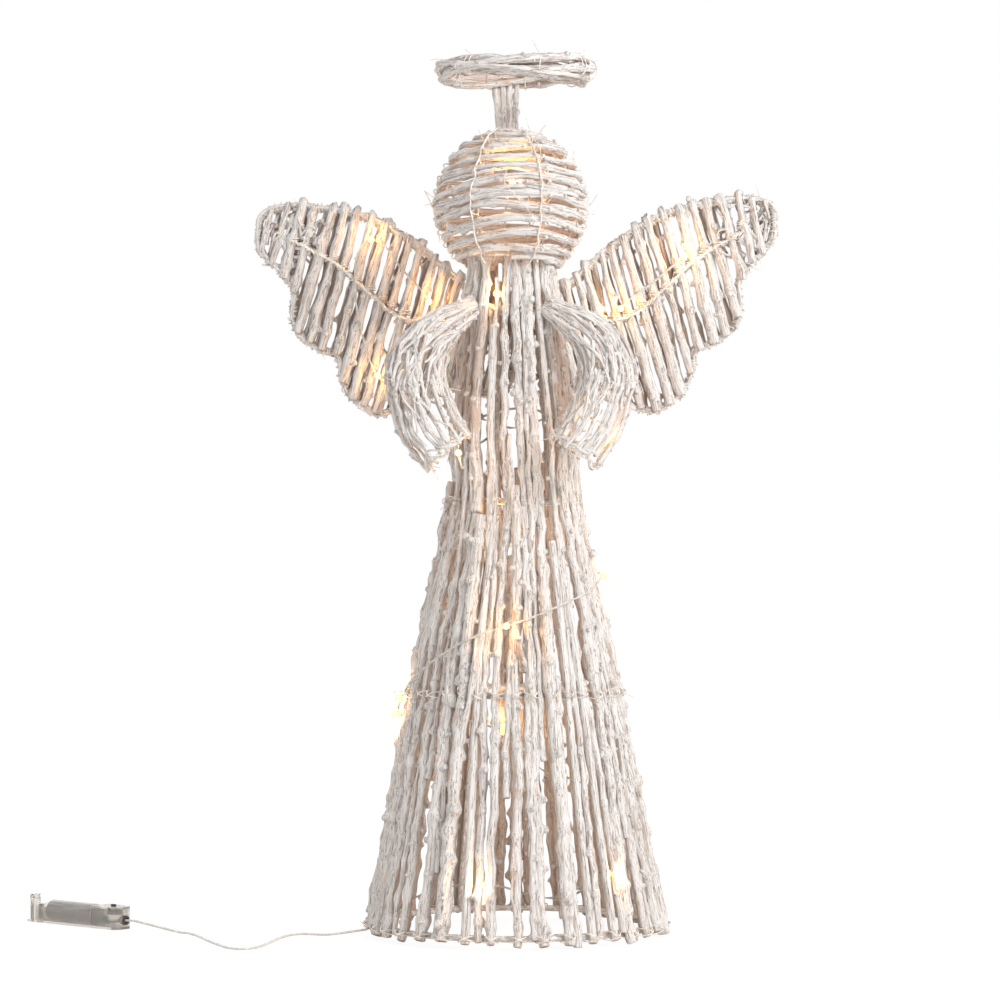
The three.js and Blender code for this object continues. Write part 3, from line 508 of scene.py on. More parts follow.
def twig(build, points, start_radius, end_radius, seed, look, coat_and_shade_towards=None, closed=False):
    """One gnarled twig: it wanders between its buds, swells at them, and has fissured bark."""
    rng = np.random.default_rng(seed)
    line = smooth_through(points, look.step, closed)
    count, sides = len(line), look.sides
    length = look.step * (count - 1)
    along = np.linspace(0, length, count)
    tangents, side, other = carried_frames(line, closed)

    places = []
    place = rng.uniform(0.2, 1) * look.bud_gap
    while place < length - look.step:
        places.append(place)
        place += look.bud_gap * rng.uniform(0.55, 1.45)
    settle = np.ones(count) if closed else np.clip(np.minimum(along, length - along) / END_TAPER, 0, 1)
    for way, extra in ((side, 1), (other, 2)):
        bends = [(-1) ** k * rng.uniform(-0.2, 0.8) * look.wander for k in range(len(places))]
        shift = np.interp(along, [0, *places, length], [0, *bends, 0])
        shift += noise(along / look.bend, seed + extra) * look.wander * WANDER_NOISE_SHARE * settle
        line = line + way * shift[:, None]
    tangents, side, other = carried_frames(line, closed)

    radius = start_radius + (end_radius - start_radius) * (along / max(length, look.step))
    radius = radius * (1 + SWELL_DEPTH * noise(along / (look.bud_gap * SWELL_WAVE), seed + 4))
    angles = ring_angles(sides)
    strips, depth, relief = bark(along, angles, look, rng, seed)

    bumps = np.zeros((count, sides))
    hand = rng.uniform(0, TURN)
    for place in places:
        hand += math.pi + rng.uniform(-0.9, 0.9)
        size = rng.uniform(0.5, 1.1) + rng.uniform() ** 4
        near = bell(along - place, BUD_REACH * size**0.5)
        bumps += look.swell * size * bell(along - place, SWELL_REACH)[:, None]
        bumps += look.bud_share * size * near[:, None] * bell(angle_apart(angles, hand), BUD_ANGLE)[None]
        if rng.uniform() < look.stubs:
            i = int(place / look.step)
            out = math.cos(hand) * side[i] + math.sin(hand) * other[i]
            base = line[i] + out * radius[i] * (1.0 + look.swell * size)
            wide = (STUB_RADIUS_SHARE * start_radius + STUB_RADIUS) * min(size, 1.2)
            aim = out + tangents[i] * rng.uniform(-0.1, 0.5)
            stub(build, base, aim, wide, wide * rng.uniform(0.7, 1.7), rng, seed % STUB_GRAIN_SHIFTS)

    reach = radius[:, None] * (1 + relief + bumps)
    rings, grain = skin(line, (tangents, side, other), reach, angles, along)
    grain[:, :, 2] += seed % GRAIN_SHIFTS * GRAIN_SHIFT_STEP
    coat = np.ones((count, sides))
    if coat_and_shade_towards is not None:
        aims = np.array([coat_and_shade_towards(Vector(p)) for p in line])
        across, up = np.cos(angles)[None, :, None], np.sin(angles)[None, :, None]
        outward = across * side[:, None] + up * other[:, None]
        coat = np.einsum("ijk,ik->ij", outward, aims) * 0.5 + 0.5
    points, faces = rings.reshape(-1, 3), tube_faces(count, sides, closed)
    wear = (strips + BUMP_WEAR * bumps - FISSURE_WEAR * depth).ravel()
    grain, coat = grain.reshape(-1, 3), coat.ravel()
    cut = np.zeros(len(points))
    ends = () if closed else ((0, -1), (count - 1, 1))
    for ring, way in ends:
        middle = rings[ring].mean(0)
        inner = middle + (rings[ring] - middle) * CUT_SHARE + tangents[ring] * way * CUT_BEVEL
        base, low = len(points), ring * sides
        own = slice(low, low + sides)
        points = np.concatenate([points, inner, [middle + tangents[ring] * way * CUT_BEVEL * CUT_DOME]])
        grain = np.concatenate([grain, grain[own], grain[own][:1] * (0, 0, 1)])
        wear = np.append(wear, np.zeros(sides + 1))
        coat = np.append(coat, [*coat[own], coat[own].mean()])
        cut = np.append(cut, np.ones(sides + 1))
        for k in range(sides):
            a, b = (k, (k + 1) % sides)[::way]
            faces += [(low + a, low + b, base + b, base + a), (base + a, base + b, base + sides)]
    build.add(points, faces, grain, wear=wear, coat=coat, cut=cut)


# Materials
class Tree:
    """Adds nodes to a material or a world. A socket is given a number, a colour or a node's output."""

    def __init__(self, owner):
        owner.use_nodes = True
        self.owner = owner
        self.nodes = owner.node_tree.nodes

    def give(self, sockets, given):
        for key, value in given.items():
            socket = sockets[key]
            if isinstance(value, bpy.types.NodeSocket):
                self.owner.node_tree.links.new(value, socket)
            else:
                socket.default_value = (*value, 1) if socket.type == "RGBA" else value

    def make(self, kind, given, **settings):
        made = self.nodes.new(kind)
        for key, value in settings.items():
            setattr(made, key, value)
        self.give(made.inputs, given)
        return made

    def math(self, operation, first, second=0):
        return self.make("ShaderNodeMath", {0: first, 1: second}, operation=operation).outputs[0]

    def plus(self, base, value, weight):
        return self.math("ADD", base, self.math("MULTIPLY", value, weight))

    def mix(self, share, first, second):
        return self.make("ShaderNodeMix", {0: share, 6: first, 7: second}, data_type="RGBA").outputs[2]

    def stored(self, name):
        made = self.make("ShaderNodeAttribute", {}, attribute_name=name)
        return made.outputs["Vector" if name == "grain" else "Fac"]

    def noise(self, vector, stretch, scale, detail, roughness):
        place = self.make("ShaderNodeVectorMath", {0: vector, 1: stretch}, operation="MULTIPLY").outputs[0]
        given = {"Scale": scale, "Detail": detail, "Roughness": roughness, "Vector": place}
        return self.make("ShaderNodeTexNoise", given).outputs["Fac"]

    def clouds(self, scale, detail, roughness):
        """Noise at the point on the object itself, in millimetres."""
        place = self.make("ShaderNodeTexCoord", {}).outputs["Object"]
        return self.noise(place, [1 / MM] * 3, scale, detail, roughness)

    def ramp(self, value, low, high):
        given = {"Value": value, "From Min": low, "From Max": high}
        return self.make("ShaderNodeMapRange", given, interpolation_type="SMOOTHSTEP").outputs["Result"]

    def surface(self, **given):
        shader = self.nodes["Principled BSDF"]
        self.give(shader.inputs, {key.replace("_", " "): value for key, value in given.items()})

    def bump(self, height, strength, distance):
        given = {"Height": height, "Strength": strength, "Distance": distance}
        self.surface(Normal=self.make("ShaderNodeBump", given).outputs["Normal"])


def material_tree(name):
    return Tree(bpy.data.materials.new(name))


PAINT = (0.81, 0.775, 0.745)
PAINT_SHADE = (0.5, 0.44, 0.4)
CRACK = (0.3, 0.225, 0.18)
SPECK = (0.22, 0.155, 0.12)
END_DARK = (0.40, 0.25, 0.16)
END_PALE = (0.66, 0.5, 0.4)
BARK_BUMP = 1.3 * MM
WIRE_BUMP = 0.2 * MM
MOULDED_BUMP = 0.1 * MM


def whitewash(name, bark_colour):
    """Whitewash over bark: worn in the fissures, thin where the spray didn't reach, and darker as painted
    shade where the coat is cut behind the sleeves.
    """
    tree = material_tree(name)
    grain = tree.stored("grain")
    long_streaks = tree.noise(grain, (1, 1, 0.06), 0.62, 5, 0.68)
    fine_streaks = tree.noise(grain, (1.3, 1.3, 0.09), 0.7, 4, 0.66)
    patches = tree.noise(grain, (0.5, 0.5, 0.4), 0.22, 3, 0.55)
    level = tree.plus(tree.math("MULTIPLY", tree.stored("wear"), 0.17), tree.stored("coat"), 0.62)
    level = tree.plus(level, tree.ramp(long_streaks, 0.42, 0.58), 0.3)
    level = tree.plus(level, tree.ramp(patches, 0.35, 0.65), 0.2)
    tone = tree.mix(tree.ramp(fine_streaks, 0.34, 0.5), PAINT_SHADE, PAINT)
    colour = tree.mix(tree.ramp(level, 0.26, 0.66), bark_colour, tone)
    cracks = tree.noise(grain, (1, 1, 0.05), 0.4, 3, 0.55)
    apart = tree.math("ABSOLUTE", tree.math("SUBTRACT", cracks, 0.5))
    colour = tree.mix(tree.ramp(apart, 0.002, 0.02), CRACK, colour)
    specks = tree.noise(grain, (1, 1, 0.45), 1.2, 3, 0.8)
    colour = tree.mix(tree.ramp(specks, 0.64, 0.72), colour, SPECK)
    end_rings = tree.noise(grain, (1, 1, 0), 1.4, 3, 0.7)
    colour = tree.mix(tree.stored("cut"), colour, tree.mix(end_rings, END_DARK, END_PALE))
    tree.surface(Base_Color=colour, Specular_IOR_Level=0.25, Roughness=tree.plus(0.72, fine_streaks, 0.22))
    tree.bump(tree.plus(fine_streaks, long_streaks, 1.3), 1.0, BARK_BUMP)
    return tree.owner


def coated_wire(name, colour, worn, roughness=0.5):
    """Painted wire with thin spots and small drips of whitewash."""
    tree = material_tree(name)
    patches = tree.noise(tree.stored("grain"), (1, 1, 0.4), 0.5, 4, 0.6)
    tone = tree.mix(tree.ramp(patches, 0.42, 0.62), worn, colour)
    tree.surface(Base_Color=tone, Roughness=tree.plus(roughness, patches, 0.25))
    tree.bump(patches, 0.3, WIRE_BUMP)
    return tree.owner


def moulded(name, colour, other, roughness, transmission=0.0, metallic=0.0, scale=0.25):
    """Moulded or pressed material with slight clouding in its colour and gloss."""
    tree = material_tree(name)
    clouds = tree.clouds(scale, 4, 0.6)
    tone = tree.mix(tree.ramp(clouds, 0.35, 0.65), colour, other)
    tree.surface(Base_Color=tone, Roughness=tree.plus(roughness, clouds, 0.15), Metallic=metallic, IOR=1.46)
    tree.surface(Transmission_Weight=transmission)
    tree.bump(clouds, 0.15, MOULDED_BUMP)
    return tree.owner


def bulb_material():
    """Clear bulb lit from inside, with a faint grain in the plastic."""
    tree = material_tree("lit_bulb")
    glow = tree.mix(tree.clouds(0.8, 2, 0.5), (1, 0.42, 0.06), (1, 0.68, 0.24))
    tree.surface(Emission_Color=glow, Emission_Strength=2.7, Base_Color=(0.9, 0.6, 0.25), Roughness=0.15)
    return tree.owner


def cell_material():
    """Printed film round the cell, with a pale band at one end and bare steel past the film's edges."""
    tree = material_tree("cell_sleeve")
    streaks = tree.noise(tree.stored("grain"), (0.04, 0.5, 0.5), 1.2, 3, 0.6)
    film = tree.mix(tree.ramp(streaks, 0.4, 0.6), (0.25, 0.235, 0.225), (0.34, 0.325, 0.315))
    film = tree.mix(tree.stored("coat"), film, (0.84, 0.83, 0.81))
    bare = tree.stored("cut")
    tree.surface(Base_Color=tree.mix(bare, film, (0.66, 0.65, 0.63)), Metallic=tree.plus(0.2, bare, 0.8))
    tree.surface(Roughness=tree.plus(0.26, streaks, 0.16))
    return tree.owner


# What new pieces are made of: a material, and the record's slot that it stands for
WOOD = whitewash("whitewashed_twig", (0.64, 0.51, 0.43)), "whitewashed_twig"
# Darker bark: the bare shoot's own colour, and painted shade on the back layer of each wing
BARE_AND_SHADED_WOOD = whitewash("bare_and_shaded_twig", (0.4, 0.3, 0.24)), "whitewashed_twig"
WIRE = coated_wire("painted_wire", (0.86, 0.84, 0.82), (0.56, 0.51, 0.47)), "painted_wire"
TIE = coated_wire("binding_wire", (0.88, 0.85, 0.8), (0.62, 0.54, 0.46), 0.4), "painted_wire"
CABLE = coated_wire("clear_cable", (0.66, 0.63, 0.59), (0.5, 0.47, 0.43), 0.25), "clear_cable"
BULB = bulb_material(), "clear_cable"
FILM = cell_material(), "cell_sleeve"

# Materials of the CAD pieces that stay in view
CLEAR = moulded("tray_plastic", (0.82, 0.775, 0.73), (0.77, 0.725, 0.68), 0.1, transmission=0.86, scale=0.08)
DARK = moulded("dark_plastic", (0.03, 0.027, 0.025), (0.05, 0.045, 0.042), 0.4)
STEEL = moulded("contact_steel", (0.62, 0.6, 0.56), (0.5, 0.48, 0.45), 0.25, metallic=1.0)
BOARD = moulded("circuit_board", (0.08, 0.16, 0.09), (0.12, 0.2, 0.12), 0.45)


# Camera, and the lead first of all
def place_camera():
    data = bpy.data.cameras.new("photo_camera")
    data.lens = CAMERA_LENS
    data.sensor_width = CAMERA_SENSOR
    data.shift_y = CAMERA_SHIFT
    camera = add_object("photo_camera", data, CAMERA_PLACE)
    camera.rotation_euler = (math.radians(90), 0, 0)
    bpy.context.scene.camera = camera


place_camera()

LEAD_STEP = 2 * MM
TWIN_SIDES = 20
TWIN_HEIGHT_SHARE = 1.25
TWIN_GROOVE_DEPTH = 0.38
TWIN_GROOVE_REACH = 0.28


def lead_line():
    marks = [TRAY_LENGTH + shift for shift in (-LEAD_INSIDE, TRAY_WALL, LEAD_OUTSIDE / 2, LEAD_OUTSIDE)]
    points = [box_point(x, TRAY_WIDTH / 2, GROMMET_HEIGHT) for x in marks]
    points += [Vector((*row, LEAD_LIFT)[:3]) * MM for row in LEAD_ROUTE]
    first, second = (string_point(row) for row in STRING_ROUTE[:2])
    points.append(first - (second - first).normalized() * REST_GAP)
    return smooth_through(points[::-1], LEAD_STEP)


def flat_twin(line, width):
    """Two clear strands side by side, moulded together."""
    build = Build()
    tangents, _, _ = carried_frames(line)
    flat = np.cross(tangents, UP)
    flat /= np.linalg.norm(flat, axis=1)[:, None]
    lift = np.cross(flat, tangents)
    angles = ring_angles(TWIN_SIDES)
    across = width / 2 * np.cos(angles)
    groove = 1 - TWIN_GROOVE_DEPTH * bell(np.cos(angles), TWIN_GROOVE_REACH)
    height = width / 4 * np.sin(angles) * groove * TWIN_HEIGHT_SHARE
    rings = line[:, None] + across[None, :, None] * flat[:, None] + height[None, :, None] * lift[:, None]
    points = rings.reshape(-1, 3)
    build.add(points, tube_faces(len(line), TWIN_SIDES, capped=True), points / MM)
    return build.finish("lead", CABLE, "lead_cable")


lead_points = lead_line()
lead = flat_twin(lead_points, LEAD_WIDTH)


# Sprayed from outside, so that the inner side of every twig stays browner
def from_axis(point):
    return Vector((point.x - lean(point.z), point.y, 0)).normalized()


def from_head(point):
    return (point - HEAD_CENTRE).normalized()


def towards(*direction):
    aim = Vector(direction).normalized()
    return lambda point: aim


# Skirt and bodice
RING_GAP = 2 * MM
CENTRE_STEP = 12 * MM


def centre_line(name):
    """The middle line of a CAD stick from the floor up, drawn in at the waist."""
    corners = np.array([tuple(v.co) for v in nodes[name].data.vertices])
    corners = np.unique(np.round(corners, 6), axis=0)
    corners = corners[np.argsort(corners[:, 2])]
    breaks = np.where(np.diff(corners[:, 2]) > RING_GAP)[0] + 1
    middles = [Vector(group.mean(0)) for group in np.split(corners, breaks)]
    share = 1 if middles[-1].z > WAIST_HEIGHT + WAIST_REACH_ABOVE else SHORT_STICK_SHARE
    line = [Vector(point) for point in smooth_through(middles, CENTRE_STEP)]
    return [p + (WAIST_SHIFT - from_axis(p) * WAIST_IN) * near_waist(p.z) * share for p in line]


SKIRT_LOOK = twig_look(sides=20, bud_gap=15, swell=0.2, wander=1.5, stubs=0.8, fissures=4)
SMOOTH_LOOK = twig_look(
    sides=14, step=4.0, bud_gap=90, bud_share=0.1, swell=0.08, groove=0.025, wander=0.5, bend=70, stubs=0.2,
    fissures=0,
)
SMOOTH_ANGLES = [-113, -64, -47]
SMOOTH_RADII = (2.9 * MM, 2.4 * MM)
FOOT_LIFTS = (1.8 * MM, 5.2 * MM)
SKIRT_TIP_LEAST = 0.85
SKIRT_TIP_MOST = 1.25
FORK_COUNT = 11
FORK_STARTS = (0.22, 0.6)
FORK_SWEEP = math.radians(6)
FORK_ROWS = ((18 * MM, 0.5, 2.2 * MM), (44 * MM, 1, 3 * MM), (84 * MM, 1.15, 3 * MM))
FORK_RADII = (2.4 * MM, 1.7 * MM)
SPRIG_PIECES = 3
SPRIG_STEPS = (0, 0.33, 0.66, 1)
SPRIG_TOP = SKIRT_HEIGHT - 8 * MM
SPRIG_TAPER = 0.62

# Two thinner sticks at the left end short of the waist and stand proud of it, by their number and top
PROUD_TOPS = {17: 252 * MM, 18: 262 * MM}
PROUD_FOOT = 5 * MM
PROUD_RADIUS = 3.1 * MM
PROUD_OUT = 1.1 * WAIST_IN

# Thin paint and painted shade behind the sleeves: height, reach up and down, and how far out from the axis it
# begins
THIN_COAT_AND_SHADE_HEIGHT = 392 * MM
THIN_COAT_AND_SHADE_REACH = 42 * MM
THIN_COAT_AND_SHADE_START = 13 * MM
THIN_COAT_AND_SHADE_RISE = 8 * MM
THIN_COAT_AND_SHADE_DEPTH = 1.9


def sprayed_and_sleeve_shaded(point):
    """Which way a long stick faced the paint; behind the sleeves the coat is cut, for thin paint and for
    painted shade under the sleeves.
    """
    up = (point.z - THIN_COAT_AND_SHADE_HEIGHT) / THIN_COAT_AND_SHADE_REACH
    out = (abs(point.x - NECK_LEAN) - THIN_COAT_AND_SHADE_START) / THIN_COAT_AND_SHADE_RISE
    # Painted shade: behind the sleeves the coat is cut, so these sticks come out darker there
    return from_axis(point) * (1 - THIN_COAT_AND_SHADE_DEPTH * math.exp(-(up**4)) * min(max(out, 0), 1))


def stick_angle(line):
    return math.degrees(math.atan2(line[0].y, line[0].x))


def skirt_twigs():
    rng = np.random.default_rng(41)
    lines = {name: centre_line(name) for name in STICKS}
    smooth = {min(lines, key=lambda name: abs(stick_angle(lines[name]) - angle)) for angle in SMOOTH_ANGLES}
    forks = set(rng.choice(sorted(lines), FORK_COUNT, replace=False))
    feet = np.random.default_rng(29)
    for index, (name, line) in enumerate(lines.items()):
        thick = rng.uniform(0.74, 1.32)
        seed = 100 + index * 17
        build = Build()
        line[0] = line[0] + UP * feet.uniform(*FOOT_LIFTS)
        top = line[-1].z
        if name in smooth:
            twig(build, line, *SMOOTH_RADII, seed, SMOOTH_LOOK)
        else:
            tip_radius = stick_radius(top) * max(SKIRT_TIP_LEAST, min(thick, SKIRT_TIP_MOST))
            twig(build, line, STICK_BASE_RADIUS * thick, tip_radius, seed, SKIRT_LOOK, sprayed_and_sleeve_shaded)
        if name in forks:
            start = rng.uniform(*FORK_STARTS) * top
            angle = math.atan2(line[0].y, line[0].x)
            sweep = FORK_SWEEP if index % 2 else -FORK_SWEEP
            fork = [on_skirt(angle, start)]
            fork += [on_skirt(angle + sweep * turn, start + rise, out) for rise, turn, out in FORK_ROWS]
            twig(build, fork, *FORK_RADII, 900 + index, SKIRT_LOOK, from_axis)
        build.finish(f"skirt_twig_{index + 1:02d}", WOOD, name)


skirt_twigs()


def skirt_sprigs():
    """Thinner sticks in the gaps between the long ones, most of them starting at the hem."""
    builds = [Build() for _ in range(SPRIG_PIECES)]
    rng = np.random.default_rng(43)
    for k in range(STICK_COUNT):
        angle = TURN * (k + 0.5 + rng.uniform(-0.22, 0.22)) / STICK_COUNT
        low = rng.uniform(1, 9) * MM if rng.uniform() < 0.62 else rng.uniform(30, 200) * MM
        high = min(low + rng.uniform(170, 400) * MM, SPRIG_TOP)
        sweep = rng.uniform(-0.09, 0.09)
        thick = rng.uniform(1.7, 3.1) * MM
        proud = 0
        if k in PROUD_TOPS:
            low, high, thick, proud = PROUD_FOOT, PROUD_TOPS[k], PROUD_RADIUS, PROUD_OUT
        line = []
        for share in SPRIG_STEPS:
            z = low + (high - low) * share
            out = rng.uniform(-2, 1.5) * MM + proud * near_waist(z)
            line.append(on_skirt(angle + sweep * share, z, out))
        build = builds[k * SPRIG_PIECES // STICK_COUNT]
        twig(build, line, thick, thick * SPRIG_TAPER, 1300 + 13 * k, SKIRT_LOOK, sprayed_and_sleeve_shaded)
    for number, build in enumerate(builds):
        build.finish(f"skirt_sprigs_{number + 1}", WOOD)


skirt_sprigs()

SHOOT_ROUTE = ((5, 186), (1.5, 206), (-1, 226), (3, 251))
SHOOT_OUT = 3.2 * MM
SHOOT_RADII = (2.2 * MM, 1.5 * MM)


def bare_shoot():
    """A short side branch in front that the paint hardly reached."""
    build = Build()
    look = twig_look(sides=14, step=1.8, bud_gap=9, bud_share=0.9, swell=0.3, stubs=0.9, fissures=3)
    line = []
    for across, z in SHOOT_ROUTE:
        angle = -math.pi / 2 + across * MM / skirt_radius(z * MM)
        line.append(on_skirt(angle, z * MM, SHOOT_OUT))
    twig(build, line, *SHOOT_RADII, 1971, look, lambda point: -0.5 * from_axis(point))
    build.finish("bare_shoot", BARE_AND_SHADED_WOOD)


bare_shoot()

# Wire frame inside the sticks
HOOP_POINTS = 90
UPRIGHT_STEP = 8 * MM


def hoop_radius(z):
    reach = stick_radius(z) * (TWIG_FLAT_SHARE if z == HOOP_HEIGHTS[0] else KNOT_SWELL)
    return skirt_radius(z) - reach - REST_GAP - HOOP_RADIUS


def wire_frame():
    build = Build()
    for z in HOOP_HEIGHTS:
        line = [round_skirt(TURN * k / HOOP_POINTS, z, hoop_radius(z)) for k in range(HOOP_POINTS)]
        tube(build, line, HOOP_RADIUS, sides=12, closed=True)
    for degrees in UPRIGHT_ANGLES:
        points = [round_skirt(math.radians(degrees), z, hoop_radius(z)) for z in HOOP_HEIGHTS]
        tube(build, smooth_through(points, UPRIGHT_STEP), UPRIGHT_RADIUS, sides=12)
    build.finish("welded_frame", WIRE, "wire_frame")


wire_frame()

# Head
HEAD_TURN_RADIUS = HEAD_RADIUS - HEAD_TWIG_RADIUS
HEAD_WIRE_TURN = HEAD_TURN_RADIUS - HEAD_TWIG_RADIUS - REST_GAP - HEAD_WIRE_RADIUS
HEAD_COLLAR_RADIUS = NECK_RADIUS + STICK_NECK_RADIUS + REST_GAP + HEAD_WIRE_RADIUS
HEAD_LOW_ANGLE = math.pi - math.asin(HEAD_COLLAR_RADIUS / HEAD_WIRE_TURN)
HEAD_FALL = HEAD_TURN_PITCH / HEAD_TURN_RADIUS
HEAD_STEP = 7 * MM
HEAD_TWIG_RADII = (2.9 * MM, 2.5 * MM)
HEAD_DROOP = 7 * MM
HEAD_RAISE = 3.5 * MM
HEAD_BACK_DROP = 2.7 * MM
HEAD_SLOW_RIPPLE = 1.2 * MM
HEAD_QUICK_RIPPLE = 0.8 * MM
HEAD_ARCS = 13
HEAD_ARC_STEP = 0.16
HEAD_ARC_PULL = 0.9 * MM
RIB_STEPS = 40
COLLAR_POINTS = 72
HEAD_LOOK = twig_look(sides=14, bud_gap=24, bud_share=0.4, swell=0.16, bend=20, stubs=0.5, fissures=4)
THIN_LOOK = twig_look(sides=9, bud_gap=16, swell=0.16, wander=1.0, bend=16)


def on_ball(radius, polar, azimuth):
    """The CAD model's ball, whose azimuth starts at the viewer's side."""
    flat = radius * math.sin(polar)
    place = Vector((flat * math.sin(azimuth), -flat * math.cos(azimuth), radius * math.cos(polar)))
    return HEAD_CENTRE + place


def droop(azimuth):
    """How far the turns hang lower at the sides and back than in front, where a bulb shows between two."""
    back = HEAD_BACK_DROP * (1 - math.cos(azimuth)) / 2
    return HEAD_DROOP * (1 - math.cos(2 * azimuth)) / 2 + back - HEAD_RAISE


def kinked(azimuth):
    """1 between two meridian wires and 0 on one, where the turns are pulled in."""
    return abs(math.sin(HEAD_MERIDIANS * (azimuth - math.pi / 2 / HEAD_MERIDIANS)))


def head_spiral(sway):
    points = []
    polar, azimuth = HEAD_LOW_ANGLE, 0.0
    while polar > HEAD_TOP_ANGLE:
        slow = HEAD_SLOW_RIPPLE * math.sin(1.3 * azimuth + sway[0])
        offset = droop(azimuth) + slow + HEAD_QUICK_RIPPLE * math.sin(2.7 * azimuth + sway[3])
        level = polar + offset * math.sin(polar) / HEAD_TURN_RADIUS
        points.append(on_ball(HEAD_TURN_RADIUS, level, azimuth))
        turn = min(HEAD_STEP / (HEAD_TURN_RADIUS * math.sin(polar)), math.pi / 4)
        azimuth += turn
        polar -= HEAD_FALL * turn / TURN
    return points


def head_twigs():
    build = Build()
    spiral = head_spiral(np.random.default_rng(5).uniform(0, TURN, 4))
    twig(build, spiral, *HEAD_TWIG_RADII, 2001, HEAD_LOOK, from_head)
    rng = np.random.default_rng(47)
    turns = (HEAD_LOW_ANGLE - HEAD_TOP_ANGLE) / HEAD_FALL
    for k in range(HEAD_ARCS):
        start = rng.uniform(0, TURN)
        reach = rng.uniform(1.2, 3.6)
        turn = rng.uniform(0, 1) + k * (turns - 1.5) / HEAD_ARCS
        offsets = rng.uniform(2.4, 3.8, 2) * rng.choice((-1, 1)) * MM
        points = []
        steps = max(4, int(reach / HEAD_ARC_STEP))
        for i in range(steps + 1):
            azimuth = start + reach * i / steps
            level = HEAD_LOW_ANGLE - HEAD_FALL * (turn + reach * i / steps / TURN)
            offset = offsets[0] * (1 - i / steps) + offsets[1] * i / steps
            drop = (offset + droop(azimuth)) * math.sin(level)
            radius = HEAD_TURN_RADIUS + HEAD_ARC_PULL * kinked(azimuth)
            points.append(on_ball(radius, level + drop / HEAD_TURN_RADIUS, azimuth))
        radii = (rng.uniform(1.4, 2.3) * MM, rng.uniform(1.0, 1.7) * MM)
        twig(build, points, *radii, 2100 + 7 * k, THIN_LOOK, from_head)
    build.finish("head_vine", WOOD, "head_winding")


head_twigs()


def head_ribs():
    build = Build()
    for m in range(HEAD_MERIDIANS):
        azimuth = math.pi * (m + 0.5) / HEAD_MERIDIANS
        marks = range(-RIB_STEPS, RIB_STEPS + 1)
        line = [on_ball(HEAD_WIRE_TURN, HEAD_LOW_ANGLE * i / RIB_STEPS, azimuth) for i in marks]
        tube(build, line, HEAD_WIRE_RADIUS)
    turns = [TURN * k / COLLAR_POINTS for k in range(COLLAR_POINTS)]
    collar = [on_ball(HEAD_WIRE_TURN, HEAD_LOW_ANGLE, turn) for turn in turns]
    tube(build, collar, HEAD_WIRE_RADIUS, closed=True)
    build.finish("head_ribs", WIRE, "head_wires")


head_ribs()

# Halo and its post
HALO_CORE = HALO_RADIUS - HALO_STRAND_OFFSET - HALO_TWIG_RADIUS
HALO_POINTS = 170
HALO_LOOK = twig_look(sides=14, bud_gap=24, wander=0.9, bend=40)

# Twigs of the halo: offset from its core, twists, laps, start angle, points left out, radii and seed
HALO_ROWS = [
    (HALO_STRAND_OFFSET, HALO_TWISTS, HALO_LAPS, 0.5, 3, (2.8 * MM, 2.8 * MM), 3001),
    (6.0 * MM, 1, 1, 1.9, 2, (2.5 * MM, 2.3 * MM), 3005),
    (7.0 * MM, -1, 1, 4.1, 2, (2.0 * MM, 1.7 * MM), 3009),
]
HALO_OUTWARD = 0.1
POST_LOOK = twig_look(step=1.8, bud_share=0.8, swell=0.15, wander=0.6, bend=16, stubs=0.7, fissures=3)
POST_SQUEEZE = 0.78
POST_SPREAD = 0.5
POST_TOP_SHARE = 0.6
POST_AIM = -0.6
POST_SINK = 4 * MM
POST_RADII = (2.4 * MM, 2.2 * MM)


def halo_lap(offset, twists, laps, phase):
    points = []
    for i in range(HALO_POINTS * laps):
        lap = TURN * i / HALO_POINTS
        twist = TURN * twists * i / (HALO_POINTS * laps) + phase
        radius = HALO_CORE + offset * math.cos(twist)
        height = HALO_HEIGHT + offset * math.sin(twist)
        points.append(Vector((radius * math.cos(lap), radius * math.sin(lap), height)))
    return points


def from_halo(point):
    ring = Vector((point.x, point.y, 0)).normalized() * HALO_CORE
    return (point - Vector((ring.x, ring.y, HALO_HEIGHT)) + ring * HALO_OUTWARD).normalized()


def halo_twigs():
    build = Build()
    for offset, twists, laps, phase, gap, radii, seed in HALO_ROWS:
        line = halo_lap(offset, twists, laps, phase)[::gap]
        twig(build, line, *radii, seed, HALO_LOOK, from_halo, closed=True)
    build.finish("halo_vine", WOOD, "halo_winding")


halo_twigs()


def halo_post():
    build = Build()
    top = HALO_HEIGHT - HALO_STRAND_OFFSET * POST_TOP_SHARE
    middle_y = POST_FOOT_Y + 0.5 * (POST_TOP_Y - POST_FOOT_Y)
    for k in range(POST_TWIGS):
        side = (k - (POST_TWIGS - 1) / 2) * POST_TWIG_PITCH * POST_SQUEEZE
        inner = math.hypot(POST_X + side - HEAD_CENTRE.x, POST_FOOT_Y)
        foot = HEAD_CENTRE.z + math.sqrt(HEAD_RADIUS**2 - inner**2) - POST_SINK
        points = [
            Vector((POST_X + side, POST_FOOT_Y, foot)),
            Vector((POST_X + side, middle_y, (foot + top) / 2)),
            Vector((POST_X + side + side * POST_SPREAD, POST_TOP_Y, top)),
        ]
        aim = towards(side / POST_TWIG_PITCH, POST_AIM, 0)
        twig(build, points, *POST_RADII, 3100 + k * 7, POST_LOOK, aim)
    build.finish("halo_stem", WOOD, "halo_post")


halo_post()

# Wings
WING_LOOK = twig_look(sides=14, bud_gap=18, groove=0.11, stubs=0.65, fissures=4)
RIM_LOOK = twig_look(sides=9, bud_share=0.6, swell=0.22, groove=0.14, wander=1.0, bend=12)
WING_LAYER = 3.0 * MM
